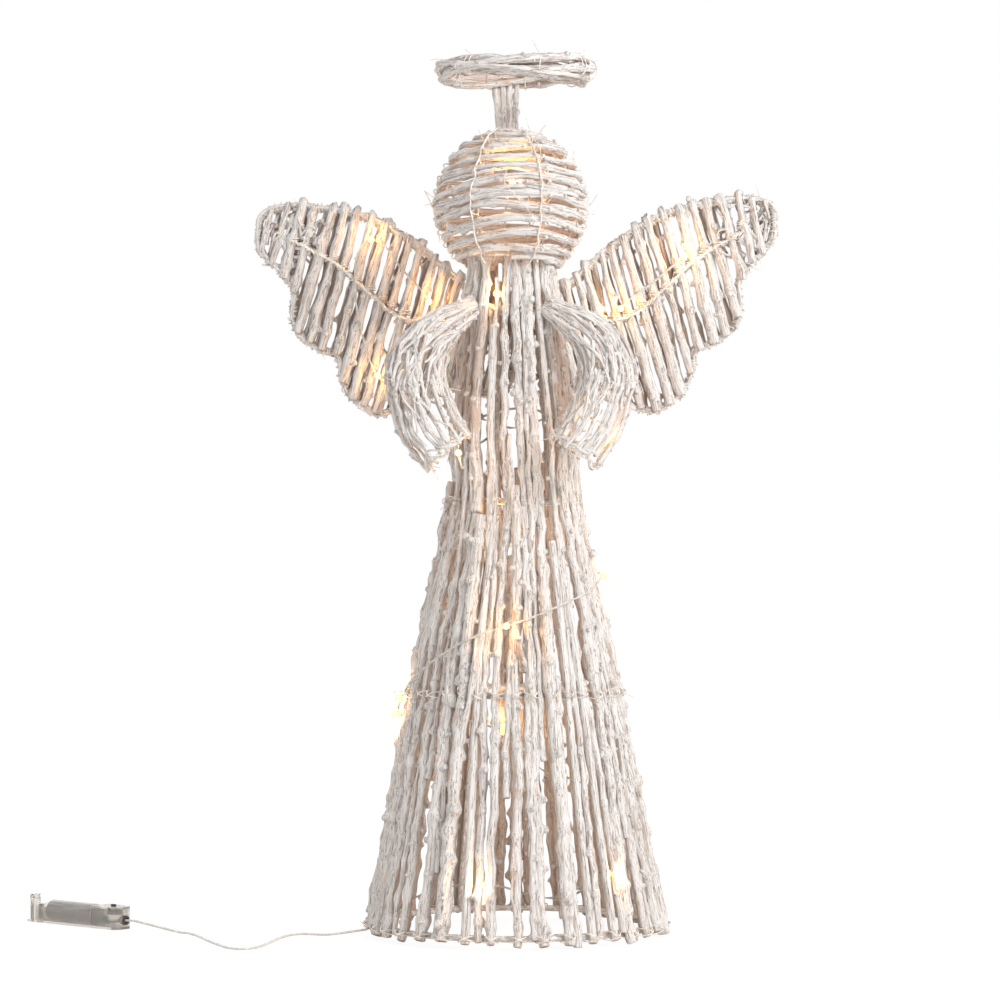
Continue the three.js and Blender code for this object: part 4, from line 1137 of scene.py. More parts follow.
# Wing layers; the back one has darker bark and an unpainted front side, which are painted shade behind the
# front sticks
WING_LAYERS = [(-0.6, 3.1, -1, 5000), (1.0, 2.4, 1, 7000)]
WING_LAST_SHARE = 1.24
WING_FIRST = 9 * MM
WING_BEND_SHARE = 0.3
WING_HOOK_SHARE = 0.75
WING_TAPER_SHARES = (1.1, 0.9)
WING_AIM = 0.35
# The back sticks sit to one side of the front ones, so that their painted shade shows beside them
BACK_SHIFTS = {-1: 3.5 * MM, 1: 2.5 * MM}
WING_LAYER_PITCH = 10.5 * MM
RIM_RINGS = [(0, 0, 1.7), (1.1, -1.6, 1.1), (-1.4, 1.8, 1.2)]
RIM_AIM = (0, -1, 0.3)
TIP_SPRIGS = 20
TIP_POINTS = 5
TIP_LOW_SHARES = (0.74, 0.72)
TIP_HIGH_SHARES = (0.985, 0.98)
SHORT_CHORD = 90 * MM
SHORT_CHORD_SHARE = 0.4
SPINE_SAMPLES = 40
SPINE_LIFT = 1 * MM
SPINE_WIRE_RADIUS = 0.8 * MM
SPINE_STEP = 3 * MM
SPINE_STICK_SHARE = 1.1
SIDES = (("left", -1), ("right", 1))
spine_places = {-1: [], 1: []}


def wing_outline():
    root = [(WING_ROOT, WING_BOTTOM + share * WING_HEIGHT) for share in WING_ROOT_SHARES]
    return root + [wing_share(share) for share in WING_OUTLINE_SHARES]


def on_lean(foot, z):
    return foot - WING_SLOPE * (z - WING_BOTTOM)


def wing_chord(outline, foot):
    """Longest stretch of a leaning line inside the outline, as its two ends."""
    crossings = []
    for (x0, z0), (x1, z1) in zip(outline, outline[1:] + outline[:1], strict=True):
        side0, side1 = x0 - on_lean(foot, z0), x1 - on_lean(foot, z1)
        if side0 * side1 < 0:
            crossings.append(z0 + (z1 - z0) * side0 / (side0 - side1))
    crossings.sort()
    spans = [crossings[i : i + 2] for i in range(0, len(crossings) - 1, 2)]
    if not spans:
        return None
    return [(on_lean(foot, z), z) for z in max(spans, key=lambda span: span[1] - span[0])]


def spine_crossing(low, high):
    """Where a stick from low to high crosses the spine, as x and z, or nothing."""
    across, up = zip(*(wing_share(share) for share in SPINE_SHARES), strict=True)
    for i in range(SPINE_SAMPLES + 1):
        x, z = (a + (b - a) * i / SPINE_SAMPLES for a, b in zip(low, high, strict=True))
        if across[0] < x < across[-1] and z > np.interp(x, across, up):
            return x, z
    return None


def wing_layer(build, side, offset, radius, facing, seed):
    outline = wing_outline()
    rng = np.random.default_rng(seed)
    gaps = np.random.default_rng(4300 + side)
    foot = WING_ROOT + WING_FIRST + (BACK_SHIFTS[side] if facing > 0 else 0)
    depth = Vector((0, offset, 0))
    k = 0
    while foot < WING_HALF_SPAN * WING_LAST_SHARE:
        chord = wing_chord(outline, foot)
        foot += WING_LAYER_PITCH * gaps.uniform(0.9, 1.1)
        k += 1
        if not chord or chord[1][1] - chord[0][1] < 2 * WING_LAYER_PITCH:
            continue
        (low_x, low_z), (high_x, high_z) = chord
        low_z -= rng.uniform(-0.5, 2) * MM
        high_z += rng.uniform(0.5, 3.5) * MM
        lean_by = rng.uniform(-1.8, 1.8) * MM
        middle = ((low_x + high_x) / 2 + lean_by * WING_BEND_SHARE, (low_z + high_z) / 2)
        marks = ((low_x, low_z), middle, (high_x + lean_by, high_z))
        points = [wing_point(side, *mark) + depth for mark in marks]
        if facing < 0 and rng.uniform() < WING_HOOK_SHARE:
            hook = Vector((side * rng.uniform(-2, 3), rng.uniform(1, 4), rng.uniform(-3, 0.5))) * MM
            points.append(points[-1] + hook)
        full = min(1, SHORT_CHORD_SHARE + (high_z - low_z) / SHORT_CHORD)
        thick = radius * rng.uniform(0.8, 1.2) * full
        crossing = spine_crossing((low_x, low_z), (high_x, high_z)) if facing < 0 else None
        if crossing:
            spine_places[side].append((wing_point(side, *crossing) + depth, thick))
        radii = [thick * share for share in WING_TAPER_SHARES]
        twig(build, points, *radii, seed + 31 * k, WING_LOOK, towards(side * WING_AIM, facing, 0))


def wing_tip_sprigs(build, side, seed):
    """Thin shoots bent round the tip and tangled there."""
    rng = np.random.default_rng(seed)
    for k in range(TIP_SPRIGS):
        place = Vector((rng.uniform(0.78, 0.97), 0, rng.uniform(0.78, 0.97)))
        points = []
        for _ in range(TIP_POINTS):
            forward = Vector((0, rng.uniform(-4.5, 3.5) * MM, 0))
            points.append(wing_point(side, *wing_share((place.x, place.z))) + forward)
            place += Vector((rng.uniform(-0.06, 0.06), 0, rng.uniform(-0.09, 0.09)))
            place.x = min(max(place.x, TIP_LOW_SHARES[0]), TIP_HIGH_SHARES[0])
            place.z = min(max(place.z, TIP_LOW_SHARES[1]), TIP_HIGH_SHARES[1])
        radii = (rng.uniform(0.9, 1.6) * MM, rng.uniform(0.6, 1.0) * MM)
        twig(build, points, *radii, seed + 7 * k, THIN_LOOK, towards(*RIM_AIM))


def wing(label, side):
    builds = {-1: Build(), 1: Build()}
    for offset, radius, facing, seed in WING_LAYERS:
        wing_layer(builds[facing], side, WING_LAYER * offset, radius * MM, facing, seed + side * 300)
    outline = [wing_point(side, x, z) for x, z in wing_outline()]
    middle = sum(outline, Vector()) / len(outline)
    for number, (shift, depth, radius) in enumerate(RIM_RINGS):
        ring = [p + (p - middle).normalized() * shift * MM + Vector((0, depth * MM, 0)) for p in outline]
        seed = 5600 + 11 * number + side
        twig(builds[-1], ring, radius * MM, radius * MM, seed, RIM_LOOK, towards(*RIM_AIM), closed=True)
    wing_tip_sprigs(builds[-1], side, 5800 + side)
    builds[-1].finish(f"{label}_wing_twigs", WOOD, f"{label}_wing")
    # The back layer in darker bark: painted shade behind the front sticks
    builds[1].finish(f"{label}_wing_back", BARE_AND_SHADED_WOOD)
    spine = Build()
    reach = WING_STICK_RADIUS * SPINE_STICK_SHARE + REST_GAP + SPINE_RADIUS + SPINE_LIFT
    forward = TOWARDS_VIEWER * reach
    line = [wing_point(side, *wing_share(share)) + forward for share in SPINE_SHARES]
    tube(spine, smooth_through(line, SPINE_STEP), SPINE_WIRE_RADIUS)
    spine.finish(f"{label}_wing_wire", WIRE, f"{label}_wing_spine")


for label, side in SIDES:
    wing(label, side)

# Sleeves
SLEEVE_LOOK = twig_look(
    sides=9, step=1.8, bud_gap=10, bud_share=0.7, swell=0.28, groove=0.14, wander=1.5, bend=34, stubs=0.8,
)
SLEEVE_TWIGS = 13
SLEEVE_CROSSERS = 10
CROSSER_STEPS = 3
CROSSER_TURNS = (0.05, 3.1)
CROSSER_SWELL = 1.07

# Sleeve from the front, from the shoulder to the cuff: outer x and z, inner x and z, depth and bulge, in mm
SLEEVE_ROWS = [
    (-34, 440, -27, 432, -25, 3), (-57, 433, -38, 421, -30, 9), (-76, 419, -46, 411, -35, 14),
    (-86.5, 403, -51, 400, -39, 18), (-90.5, 385, -52, 382, -43, 19), (-87.5, 369, -47.5, 370, -47, 19),
    (-80, 349, -40, 359, -53, 19), (-71, 336, -36, 352.5, -57, 18), (-62, 325, -32.5, 347, -61, 17),
]
ELBOW_ROW = 4
CUFF_ROW = len(SLEEVE_ROWS) - 1

# Twigs along the cuff's edge: first mark round it, row, and radius in mm
CUFF_EDGES = ((0, 7.9, 1.0), (4, 7.65, 0.9), (2, 7.5, 0.7))
CUFF_MARKS = 9
CUFF_POINTS = 6
CUFF_SWELL = 1.06
CUFF_TAPER = 0.8


def sleeve_point(side, row, turn, swell=1.0):
    """A point on the sleeve at a row, whole or in between, and an angle from its outer to its inner edge."""
    low = min(int(row), CUFF_ROW - 1)
    share = row - low
    values = [a + (b - a) * share for a, b in zip(SLEEVE_ROWS[low], SLEEVE_ROWS[low + 1], strict=True)]
    outer_x, outer_z, inner_x, inner_z, depth, bulge = values
    across = math.cos(turn) * swell
    x = (outer_x + inner_x) / 2 + (outer_x - inner_x) / 2 * across
    z = (outer_z + inner_z) / 2 + (outer_z - inner_z) / 2 * across
    axis = NECK_LEAN / MM
    return Vector((axis - side * (x - axis), depth - bulge * math.sin(turn) * swell, z)) * MM


def sleeve(label, side):
    build = Build()
    rng = np.random.default_rng(61 + side)
    aim = towards(side * 0.5, -1, 0.2)

    def add(points, radii, seed):
        twig(build, points, *radii, seed, SLEEVE_LOOK, aim)

    for k in range(SLEEVE_TWIGS):
        cuff = CUFF_ROW + rng.uniform(-0.6, 0.4)
        upper = (-0.2, ELBOW_ROW + rng.uniform(0.1, 0.7), 5)
        for first, last, count in (upper, (ELBOW_ROW - rng.uniform(0.1, 0.6), cuff, 3)):
            turn = math.pi * (k + rng.uniform(-0.3, 0.3)) / (SLEEVE_TWIGS - 1)
            drift = rng.uniform(-0.12, 0.12)
            swell = rng.uniform(0.93, 1.06)
            points = []
            for i in range(count):
                row = first + (last - first) * i / (count - 1)
                points.append(sleeve_point(side, row, turn + drift * (i / (count - 1) - 0.5), swell))
            radii = (rng.uniform(1.1, 1.7) * MM, rng.uniform(0.95, 1.45) * MM)
            add(points, radii, 6000 + side * 500 + k * 9 + count)
    for k in range(SLEEVE_CROSSERS):
        turn = rng.uniform(0.2, 0.8) * math.pi
        drift = rng.choice((-1, 1)) * rng.uniform(0.5, 1)
        first = rng.uniform(0.5, 4)
        last = min(first + rng.uniform(2, 4), CUFF_ROW)
        points = []
        for i in range(CROSSER_STEPS + 1):
            row = first + (last - first) * i / CROSSER_STEPS
            bent = turn + drift * (i / CROSSER_STEPS - 0.5)
            bent = min(max(bent, CROSSER_TURNS[0]), CROSSER_TURNS[1])
            points.append(sleeve_point(side, row, bent, CROSSER_SWELL))
        add(points, (rng.uniform(0.9, 1.3) * MM, rng.uniform(0.7, 1.0) * MM), 6300 + side * 500 + k * 9)
    for start, row, radius in CUFF_EDGES:
        edge = []
        for i in range(CUFF_POINTS):
            wobble = rng.uniform(-0.3, 0.3)
            turn = math.pi * (start + i) / CUFF_MARKS
            edge.append(sleeve_point(side, row + wobble, turn, CUFF_SWELL))
        add(edge, (radius * MM, radius * CUFF_TAPER * MM), 6700 + side * 20 + int(row * 10))
    build.finish(f"{label}_sleeve_twigs", WOOD, f"{label}_sleeve")


for label, side in SIDES:
    sleeve(label, side)

# Light string and bulbs
STRING_STEP = 3 * MM
STRING_TWIST = 0.9
BULB_SIDES = 14
BULB_PROFILE_SHARES = [
    (0.62, 0), (0.95, 0.08), (1, 0.2), (0.98, 0.62), (0.86, 0.8), (0.6, 0.93), (0.3, 0.985),
]
GLOW_POWER = 0.042
HEAD_GLOW_POWER = 0.1
HEAD_GLOW_HEIGHT = 510 * MM
GLOW_COLOUR = (1.0, 0.53, 0.17)
GLOW_RADIUS = 2 * MM
GLOW_SHARE = 0.7

# Light that the whole string throws about inside the skirt and the head
INSIDE_HEIGHTS = (0.07, 0.17, 0.27)
INSIDE_POWER = 0.055
HEAD_INSIDE_POWER = 0.034
INSIDE_COLOUR = (1.0, 0.9, 0.8)
INSIDE_RADIUS = 20 * MM


def light_string():
    build = Build()
    line = smooth_through([string_point(row) for row in STRING_ROUTE], STRING_STEP)
    _, side, other = carried_frames(line)
    twist = around(np.arange(len(line)) * STRING_TWIST, side, other)
    for way in (1, -1):
        tube(build, line + way * STRING_STRAND_RADIUS * twist, STRING_STRAND_RADIUS, sides=6)
    build.finish("string_cable", CABLE, "light_string")


def bulb_axis(row):
    if row[4] == "up":
        return UP.copy()
    if row[4] == "front":
        return TOWARDS_VIEWER.copy()
    return Vector((math.cos(math.radians(row[1])), math.sin(math.radians(row[1])), 0))


def bulbs():
    build = Build()
    for row in STRING_ROUTE:
        if len(row) < 5:
            continue
        place, axis = string_point(row), bulb_axis(row)
        base = place - axis * BULB_SEAT
        side = axis.orthogonal().normalized()
        other = axis.cross(side)
        points = []
        for radius, along in BULB_PROFILE_SHARES:
            for k in range(BULB_SIDES):
                angle = TURN * k / BULB_SIDES
                offset = (side * math.cos(angle) + other * math.sin(angle)) * radius * BULB_RADIUS
                points.append(base + axis * along * BULB_LENGTH + offset)
        faces = tube_faces(len(BULB_PROFILE_SHARES), BULB_SIDES)
        tip = len(points)
        points += [base, base + axis * BULB_LENGTH]
        last = tip - BULB_SIDES
        for k in range(BULB_SIDES):
            n = (k + 1) % BULB_SIDES
            faces += [(n, k, tip), (last + k, last + n, tip + 1)]
        points = np.array([tuple(p) for p in points])
        build.add(points, faces, points / MM)
        power = HEAD_GLOW_POWER if place.z > HEAD_GLOW_HEIGHT else GLOW_POWER
        glow_lamp(base + axis * BULB_LENGTH * GLOW_SHARE + axis * BULB_RADIUS, power)
    build.finish("string_bulbs", BULB)


def glow_lamp(place, power, colour=GLOW_COLOUR, radius=GLOW_RADIUS):
    data = bpy.data.lights.new("bulb_glow", "POINT")
    data.energy = power
    data.color = colour
    data.shadow_soft_size = radius
    add_object("bulb_glow", data, place)


light_string()
bulbs()
for height in INSIDE_HEIGHTS:
    glow_lamp((0, 0, height), INSIDE_POWER, INSIDE_COLOUR, INSIDE_RADIUS)
glow_lamp(HEAD_CENTRE, HEAD_INSIDE_POWER, INSIDE_COLOUR, INSIDE_RADIUS)

# Binding wires that tie the twigs to the frame
TIE_RADIUS = 0.46 * MM
TIE_STEP = 1.6 * MM
LOOSE_RADIUS = 0.28 * MM
LOOSE_SHARES = ((0.35, 0.35), (0.7, 1), (1, 1.6))
SKIRT_ENDS = 26
HEAD_ENDS = 3
WING_ENDS = 14
SLEEVE_ENDS = 12

# Wire laced round a hoop, and a second one round the two lower hoops
STICK_TOP_LEAST = 4 * MM
HOOP_TIE_SIDE = 1.2 * MM
HOOP_TIE_SWELL = 1.4
HOOP_TIE_GAP_SHARE = 0.3
HOOP_TIE_LOW_SHARE = 0.2
HOOP_TIE_SLOPE = 2.4 * MM
SECOND_TIE_RISE = 0.8 * MM
SECOND_TIE_SLOPE = -2.2 * MM
SKIRT_END_OUT = 3.5 * MM

# Two wires woven in and out along each meridian of the head, and loose wraps over its turns
HEAD_TIE_OUT = 1.0 * MM
HEAD_TIE_SWAY = 2.2 * MM
HEAD_TIE_LOW_GAP = 0.02
HEAD_TIE_TOP_GAP = 0.1
HEAD_TIE_RADIUS = 0.48 * MM
HEAD_WRAPS = 7
HEAD_WRAP_POINTS = 5
HEAD_WRAP_STEP = 0.17
HEAD_WRAP_RADIUS = 0.34 * MM

HALO_TIES = 9
HALO_TIE_POINTS = 15
HALO_TIE_TURN_POINTS = 12
HALO_TIE_DRIFT = 0.09

# Two thicker wires that run down over the turns in front of the head
HEAD_FRONT_WIRES = (math.radians(-29), math.radians(22))
HEAD_FRONT_TOP = 0.32
HEAD_FRONT_STEPS = 20
HEAD_FRONT_RADIUS = 0.6 * MM

# Two wires wound round the rim of a wing
RIM_TIE_STEP = 1.1 * MM
RIM_TIE_REACH = 3.4 * MM
RIM_TIE_PLAY = 0.7 * MM
RIM_TIE_PLAY_WAVE = 6
RIM_TIE_TURN_SHARES = (0.19, 0.24)
RIM_TIE_RADIUS = 0.4 * MM

# Wires laced over the spine of a wing, with the length of one wave, and a wire knotted round each stick there
LACE_STEP = 1.5 * MM
LACE_WAVE = 9.8 * MM
LACE_FORWARD = 2.6 * MM
LACE_DEPTH = 4.6 * MM
LACE_HEIGHT = 2.8 * MM
LACE_DEPTH_SHIFT = 2.1
LACE_HEIGHT_SHIFT = 1.3
LACE_RADIUS = 0.62 * MM
BOUND_REACH = 0.9 * MM
BOUND_POINTS = 23
BOUND_TURN_POINTS = 9
BOUND_START = 1.2
BOUND_PITCH = 1.5 * MM
BOUND_RADIUS = 0.55 * MM

# Wires across a sleeve: row and number of wires at the shoulder, below it, at the elbow and at the cuff
SLEEVE_LACES = ((0.5, 3), (1.3, 2), (ELBOW_ROW - 0.1, 3), (CUFF_ROW - 0.2, 3))
SLEEVE_LACE_GAP = 0.08
SLEEVE_LACE_SWELLS = (0.95, 1.1)
SLEEVE_LACE_RADIUS = 0.38 * MM


def wire(build, points, radius=TIE_RADIUS, closed=False):
    tube(build, smooth_through(points, TIE_STEP, closed), radius, sides=5, closed=closed)


def stick_places(z):
    """Angle and distance from the axis of each stick that passes a height, in order round the skirt."""
    places = []
    for name in STICKS:
        line = centre_line(name)
        if line[-1].z < z + STICK_TOP_LEAST:
            continue
        for low, high in zip(line[:-1], line[1:], strict=True):
            if low.z <= z <= high.z:
                point = low.lerp(high, (z - low.z) / (high.z - low.z))
                across = point.x - lean(z)
                places.append((math.atan2(point.y, across) % TURN, math.hypot(across, point.y)))
                break
    return sorted(places)


def hoop_ties(build, z, seed, rise):
    """One wire laced round the hoop, crossing the front of each stick."""
    rng = np.random.default_rng(seed)
    places = stick_places(z)
    inside = hoop_radius(z) - HOOP_RADIUS - TIE_RADIUS
    points = []
    for number, (angle, distance) in enumerate(places):
        gap = (places[(number + 1) % len(places)][0] - angle) % TURN
        reach = stick_radius(z) * HOOP_TIE_SWELL + TIE_RADIUS + rng.uniform(0, 1.2) * MM
        side = min((stick_radius(z) + HOOP_TIE_SIDE) / distance, gap * HOOP_TIE_GAP_SHARE)
        low = distance + reach * HOOP_TIE_LOW_SHARE
        slope = rise * rng.uniform(0.6, 1.3)
        points.append(round_skirt(angle - side, z - slope, low))
        points.append(round_skirt(angle, z + rng.uniform(-0.6, 0.6) * MM, distance + reach))
        points.append(round_skirt(angle + side, z + slope, low))
        points.append(round_skirt(angle + gap / 2, z + rng.uniform(-1, 1) * MM, inside))
    wire(build, points, closed=True)


def loose_end(build, start, direction, length, rng):
    """A springy end of wire left long after tying."""
    rng = np.random.default_rng(int(rng.integers(1e6)))
    direction = Vector(direction).normalized()
    side = direction.orthogonal().normalized()
    side.rotate(Quaternion(direction, rng.uniform(0, TURN)))
    bow = rng.uniform(0.15, 0.5) * length
    points = [start]
    points += [start + direction * length * far + side * bow * out for far, out in LOOSE_SHARES]
    wire(build, points, LOOSE_RADIUS)


def skirt_ties():
    build = Build()
    for number, z in enumerate(HOOP_HEIGHTS):
        hoop_ties(build, z, 81 + number, HOOP_TIE_SLOPE)
        if number < 2:
            hoop_ties(build, z + SECOND_TIE_RISE, 91 + number, SECOND_TIE_SLOPE)
    rng = np.random.default_rng(17)
    for _ in range(SKIRT_ENDS):
        z = HOOP_HEIGHTS[rng.integers(0, 4)]
        angle = rng.uniform(0, TURN)
        start = on_skirt(angle, z, SKIRT_END_OUT)
        out = from_axis(start) * 0.6 + Vector((-math.sin(angle), math.cos(angle), 0)) * rng.uniform(-1, 1)
        loose_end(build, start, out + UP * rng.uniform(-0.9, 0.5), rng.uniform(5, 13) * MM, rng)
    build.finish("skirt_ties", TIE)


def head_ties():
    build = Build()
    rng = np.random.default_rng(23)
    for m in range(2 * HEAD_MERIDIANS):
        azimuth = math.pi * (m + 0.5) / HEAD_MERIDIANS
        for lane in (-1, 1):
            points = []
            polar = HEAD_LOW_ANGLE - HEAD_TIE_LOW_GAP
            while polar > HEAD_TOP_ANGLE + HEAD_TIE_TOP_GAP:
                turns = (HEAD_LOW_ANGLE - polar) / HEAD_FALL - azimuth / TURN
                wave = (HEAD_TWIG_RADIUS + HEAD_TIE_OUT) * math.cos(TURN * turns)
                sway = lane * math.sin(math.pi * turns) * HEAD_TIE_SWAY + rng.uniform(-0.4, 0.4) * MM
                sideways = sway / (HEAD_TURN_RADIUS * math.sin(polar))
                points.append(on_ball(HEAD_TURN_RADIUS + wave, polar, azimuth + sideways))
                polar -= HEAD_FALL / 4
            wire(build, points, HEAD_TIE_RADIUS)
        for _ in range(HEAD_ENDS):
            start = on_ball(HEAD_RADIUS, rng.uniform(0.5, HEAD_LOW_ANGLE), azimuth)
            aim = from_head(start) + Vector(rng.uniform(-1, 1, 3))
            loose_end(build, start, aim, rng.uniform(6, 14) * MM, rng)
    for _ in range(HEAD_WRAPS):
        azimuth, polar = rng.uniform(0, TURN), rng.uniform(0.7, 1.6)
        points = []
        for i in range(HEAD_WRAP_POINTS):
            radius = HEAD_RADIUS + rng.uniform(1.5, 5) * MM
            points.append(on_ball(radius, polar + i * HEAD_WRAP_STEP, azimuth))
            azimuth += rng.uniform(-0.05, 0.16)
        wire(build, points, HEAD_WRAP_RADIUS)
    for azimuth in HEAD_FRONT_WIRES:
        points = []
        for i in range(HEAD_FRONT_STEPS + 1):
            polar = HEAD_FRONT_TOP + (HEAD_LOW_ANGLE - HEAD_FRONT_TOP) * i / HEAD_FRONT_STEPS
            sway = rng.uniform(-1.3, 1.3) * MM / (HEAD_RADIUS * math.sin(polar))
            points.append(on_ball(HEAD_RADIUS + rng.uniform(0.5, 1.5) * MM, polar, azimuth + sway))
        wire(build, points, HEAD_FRONT_RADIUS)
    build.finish("head_ties", TIE)


def halo_ties():
    build = Build()
    rng = np.random.default_rng(29)
    reach = HALO_STRAND_OFFSET + HALO_TWIG_RADIUS + TIE_RADIUS
    for k in range(HALO_TIES):
        angle = TURN * (k + rng.uniform(-0.2, 0.2)) / HALO_TIES
        points = []
        for step in range(HALO_TIE_POINTS):
            turn = TURN * step / HALO_TIE_TURN_POINTS
            radius = HALO_CORE + reach * math.cos(turn)
            drift = angle + (step / HALO_TIE_POINTS - 0.5) * HALO_TIE_DRIFT
            height = HALO_HEIGHT + reach * math.sin(turn)
            points.append(Vector((radius * math.cos(drift), radius * math.sin(drift), height)))
        wire(build, points)
        aim = from_halo(points[-1]) + Vector(rng.uniform(-0.8, 0.8, 3))
        loose_end(build, points[-1], aim, rng.uniform(4, 9) * MM, rng)
    build.finish("halo_ties", TIE)


def wing_ties(label, side):
    """Wire wound round the rim, and laced over the sticks along the spine."""
    build = Build()
    rng = np.random.default_rng(37 + side)
    rim = smooth_through([wing_point(side, x, z) for x, z in wing_outline()], RIM_TIE_STEP, closed=True)
    _, across, other = carried_frames(rim, closed=True)
    for lane, share in enumerate(RIM_TIE_TURN_SHARES):
        turns = np.cumsum(rng.uniform(0.5, 1.5, len(rim)))
        turns *= round(turns[-1] * share) / turns[-1]
        play = noise(np.arange(len(rim)) / RIM_TIE_PLAY_WAVE, 300 + lane)
        reach = (RIM_TIE_REACH + RIM_TIE_PLAY * play)[:, None]
        line = rim + reach * around(TURN * turns, across, other)
        tube(build, line, RIM_TIE_RADIUS, sides=5, closed=True)
    spine = smooth_through([wing_point(side, *wing_share(share)) for share in SPINE_SHARES], LACE_STEP)
    along = np.arange(len(spine)) * LACE_STEP
    for lane in (-1, 0, 1):
        points = spine.copy()
        weave = np.cos(TURN * along / LACE_WAVE + LACE_DEPTH_SHIFT * lane)
        points[:, 1] -= LACE_FORWARD + weave * LACE_DEPTH
        points[:, 2] += LACE_HEIGHT * np.sin(math.pi * along / LACE_WAVE + LACE_HEIGHT_SHIFT * lane)
        tube(build, smooth_through(points[::2], TIE_STEP), LACE_RADIUS, sides=6)
    for place, thick in spine_places[side]:
        points = []
        reach = thick + BOUND_REACH
        slant = rng.uniform(-0.5, 0.5)
        for step in range(BOUND_POINTS):
            turns = step / BOUND_TURN_POINTS
            turn = TURN * turns
            out = Vector((math.cos(turn), math.sin(turn), 0)) * reach * rng.uniform(0.95, 1.15)
            rise = (turns - BOUND_START + slant * math.cos(turn)) * BOUND_PITCH
            points.append(place + out + UP * rise)
        wire(build, points, BOUND_RADIUS)
    for _ in range(WING_ENDS):
        start = Vector(rim[rng.integers(0, len(rim))])
        aim = Vector(rng.uniform(-1, 1, 3)) + TOWARDS_VIEWER * 0.3
        loose_end(build, start, aim, rng.uniform(5, 15) * MM, rng)
    build.finish(f"{label}_wing_ties", TIE)


def sleeve_ties(label, side):
    """Wires laced across the twigs at the shoulder, the elbow and the cuff."""
    build = Build()
    rng = np.random.default_rng(53 + side)
    steps = 2 * SLEEVE_TWIGS
    for row, lanes in SLEEVE_LACES:
        for lane in range(lanes):
            points = []
            for i in range(steps + 1):
                swell = SLEEVE_LACE_SWELLS[(i + lane) % 2]
                level = row + lane * SLEEVE_LACE_GAP + rng.uniform(-0.07, 0.07)
                points.append(sleeve_point(side, level, math.pi * i / steps, swell))
            wire(build, points, SLEEVE_LACE_RADIUS)
    for _ in range(SLEEVE_ENDS):
        start = sleeve_point(side, rng.choice((0.5, ELBOW_ROW, CUFF_ROW)), rng.uniform(0, math.pi), 1.08)
        aim = Vector((side * rng.uniform(-1, 1), rng.uniform(-1, 0), rng.uniform(-1, 0.7)))
        loose_end(build, start, aim, rng.uniform(6, 16) * MM, rng)
    build.finish(f"{label}_sleeve_ties", TIE)


for label, side in SIDES:
    sleeve_ties(label, side)
skirt_ties()
head_ties()
halo_ties()
for label, side in SIDES:
    wing_ties(label, side)

# Dry cell: place along it in millimetres, share of its radius, pale band, bare steel
CELL_SIDES = 56
CELL_CENTRE_SHARE = 0.01
CELL_START_PROFILE = [
    (0.0, 0.0, 0, 1), (0.0, 0.84, 0, 1), (0.25, 0.92, 0, 1), (0.6, 0.95, 0, 1), (0.62, 0.96, 1, 0),
    (0.85, 0.99, 1, 0), (1.2, 1.0, 1, 0), (4.2, 1.0, 1, 0), (4.25, 1.0, 0, 0),
]
CELL_END_PROFILE = [
    (-2.3, 1.0, 0, 0), (-1.9, 0.985, 0, 0), (-1.6, 0.95, 0, 0), (-1.58, 0.93, 0, 1), (-1.3, 0.88, 0, 1),
    (-1.15, 0.5, 0, 1), (-1.1, 0.4, 0, 1), (-0.25, 0.38, 0, 1), (0.0, 0.33, 0, 1), (0.0, 0.0, 0, 1),
]


def dry_cell():
    corners = []
    for vertex in nodes["dry_cell"].data.vertices:
        place = nodes["dry_cell"].matrix_world @ vertex.co - BOX_CORNER
        place.rotate(Quaternion(UP, -BOX_YAW))
        corners.append(place)
    start, end = min(p.x for p in corners), max(p.x for p in corners)
    low, high = min(p.z for p in corners), max(p.z for p in corners)
    radius = (high - low) / 2
    rows = [(start + x * MM, *rest) for x, *rest in CELL_START_PROFILE]
    rows += [(end + x * MM, *rest) for x, *rest in CELL_END_PROFILE]
    points, grain, band, bare = [], [], [], []
    for x, share, pale, steel in rows:
        for k in range(CELL_SIDES):
            angle = TURN * k / CELL_SIDES
            reach = radius * max(share, CELL_CENTRE_SHARE)
            across, up = reach * math.cos(angle), reach * math.sin(angle)
            points.append(tuple(box_point(x, TRAY_WIDTH / 2 + across, low + radius + up)))
            grain.append((x / MM, across / MM, up / MM))
            band.append(pale)
            bare.append(steel)
    build = Build()
    faces = tube_faces(len(rows), CELL_SIDES)
    given = {"coat": np.array(band, float), "cut": np.array(bare, float)}
    build.add(np.array(points), faces, np.array(grain), **given)
    build.finish("round_cell", FILM, "dry_cell")


dry_cell()

# Finish of the battery box's CAD pieces: material, and bevel in mm
BEVEL_ANGLE = math.radians(40)
WELD_REACH = 0.002 * MM
BOX_FINISH = {
    "battery_tray": (CLEAR, 0.25),
    "compartment_lid": (CLEAR, 0.25),
    "slide_switch_body": (DARK, 0.15),
    "slide_switch_knob": (DARK, 0.15),
    "driver_board": (BOARD, 0.1),
    "spring_contact": (STEEL, 0.05),
    "plate_contact": (STEEL, 0.05),
    "cable_grommet": (DARK, 0.15),
}


def dress(piece, material, bevel):
    piece.data.materials.clear()
    piece.data.materials.append(material)
    weld = piece.modifiers.new("weld", "WELD")
    weld.merge_threshold = WELD_REACH
    edge = piece.modifiers.new("bevel", "BEVEL")
    edge.width = bevel
    edge.segments = 2
    edge.limit_method = "ANGLE"
    edge.angle_limit = BEVEL_ANGLE


for name, (material, bevel) in BOX_FINISH.items():
    dress(nodes[name], material, bevel * MM)

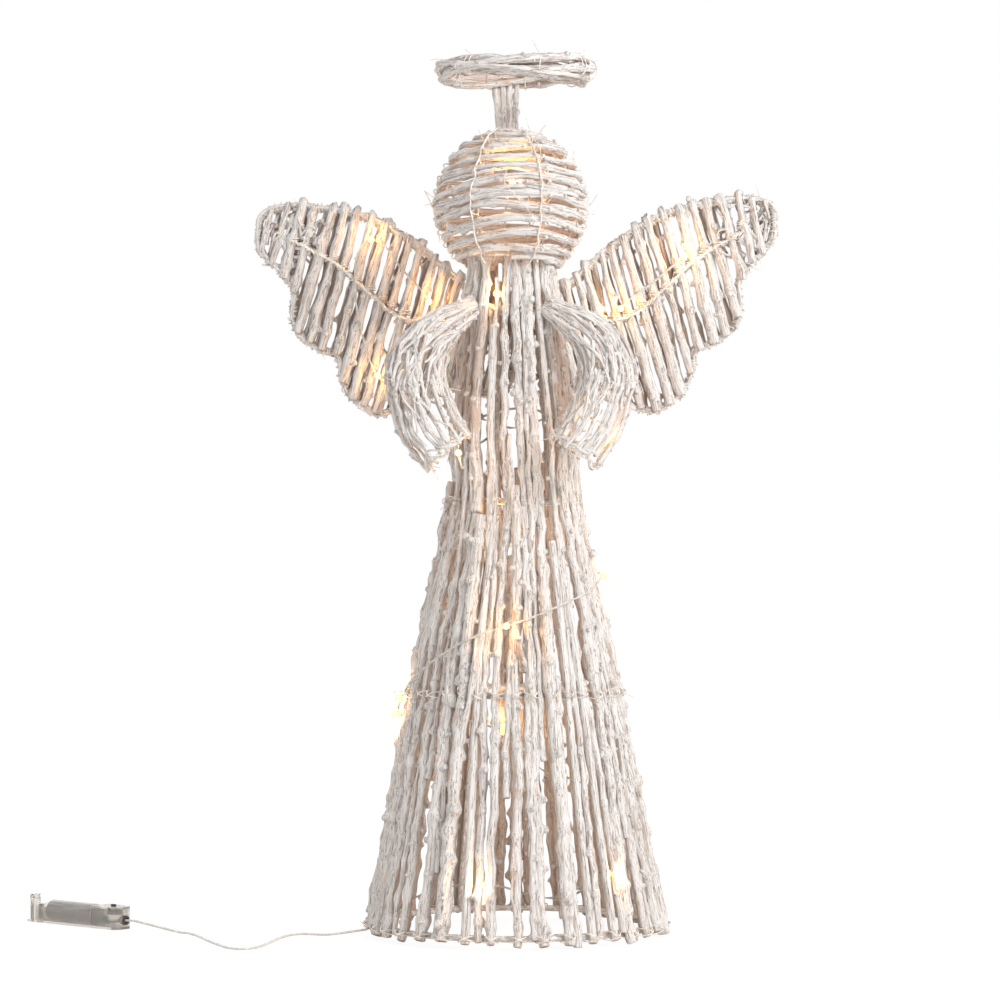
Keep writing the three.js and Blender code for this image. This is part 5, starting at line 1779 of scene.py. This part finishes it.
# Floor, backdrop and light
FLOOR_SIZE = 120
FLOOR_PLACE = (0, 40, -0.0005)
FLOOR_COLOUR = (0.88, 0.88, 0.88)
SEEN_FLOOR_GLOW = 0.905
SEEN_FLOOR_SHADE = (0.12, 0.12, 0.12)
WORLD_LEVEL = 0.86
WHITE = (1, 1, 1)
LAMP_AIM = Vector((0, 0, 0.3))


def seen_share(tree):
    """1 for what the camera sees, directly or through gloss and glass."""
    rays = tree.make("ShaderNodeLightPath", {}).outputs
    seen = tree.math("MAXIMUM", rays["Is Camera Ray"], rays["Is Glossy Ray"])
    return tree.math("MAXIMUM", seen, rays["Is Transmission Ray"])


def floor():
    bpy.ops.mesh.primitive_plane_add(size=FLOOR_SIZE, location=FLOOR_PLACE)
    plane = bpy.context.object
    plane.name = "floor"
    tree = material_tree("floor")
    tree.nodes.clear()
    plain = tree.make("ShaderNodeBsdfDiffuse", {"Color": FLOOR_COLOUR})
    shaded = tree.make("ShaderNodeBsdfDiffuse", {"Color": SEEN_FLOOR_SHADE})
    glow = tree.make("ShaderNodeEmission", {"Strength": SEEN_FLOOR_GLOW})
    both = tree.make("ShaderNodeAddShader", {0: shaded.outputs[0], 1: glow.outputs[0]})
    mix = tree.make("ShaderNodeMixShader", {0: seen_share(tree), 1: plain.outputs[0], 2: both.outputs[0]})
    tree.make("ShaderNodeOutputMaterial", {"Surface": mix.outputs[0]})
    plane.data.materials.append(tree.owner)


def world():
    tree = Tree(bpy.data.worlds.new("studio"))
    level = tree.plus(WORLD_LEVEL, seen_share(tree), 1 - WORLD_LEVEL)
    tree.give(tree.nodes["Background"].inputs, {"Strength": level, "Color": WHITE})
    bpy.context.scene.world = tree.owner


def soft_lamp(name, place, energy, size):
    data = bpy.data.lights.new(name, "AREA")
    data.energy = energy
    data.size = size
    lamp = add_object(name, data, place)
    lamp.rotation_euler = (LAMP_AIM - Vector(place)).to_track_quat("-Z", "Y").to_euler()


floor()
world()
soft_lamp("key", (1.6, -1.5, 1.6), 47, 1.0)
soft_lamp("back", (-0.6, 1.9, 1.3), 9, 1.4)
bpy.context.scene.view_settings.view_transform = "Standard"
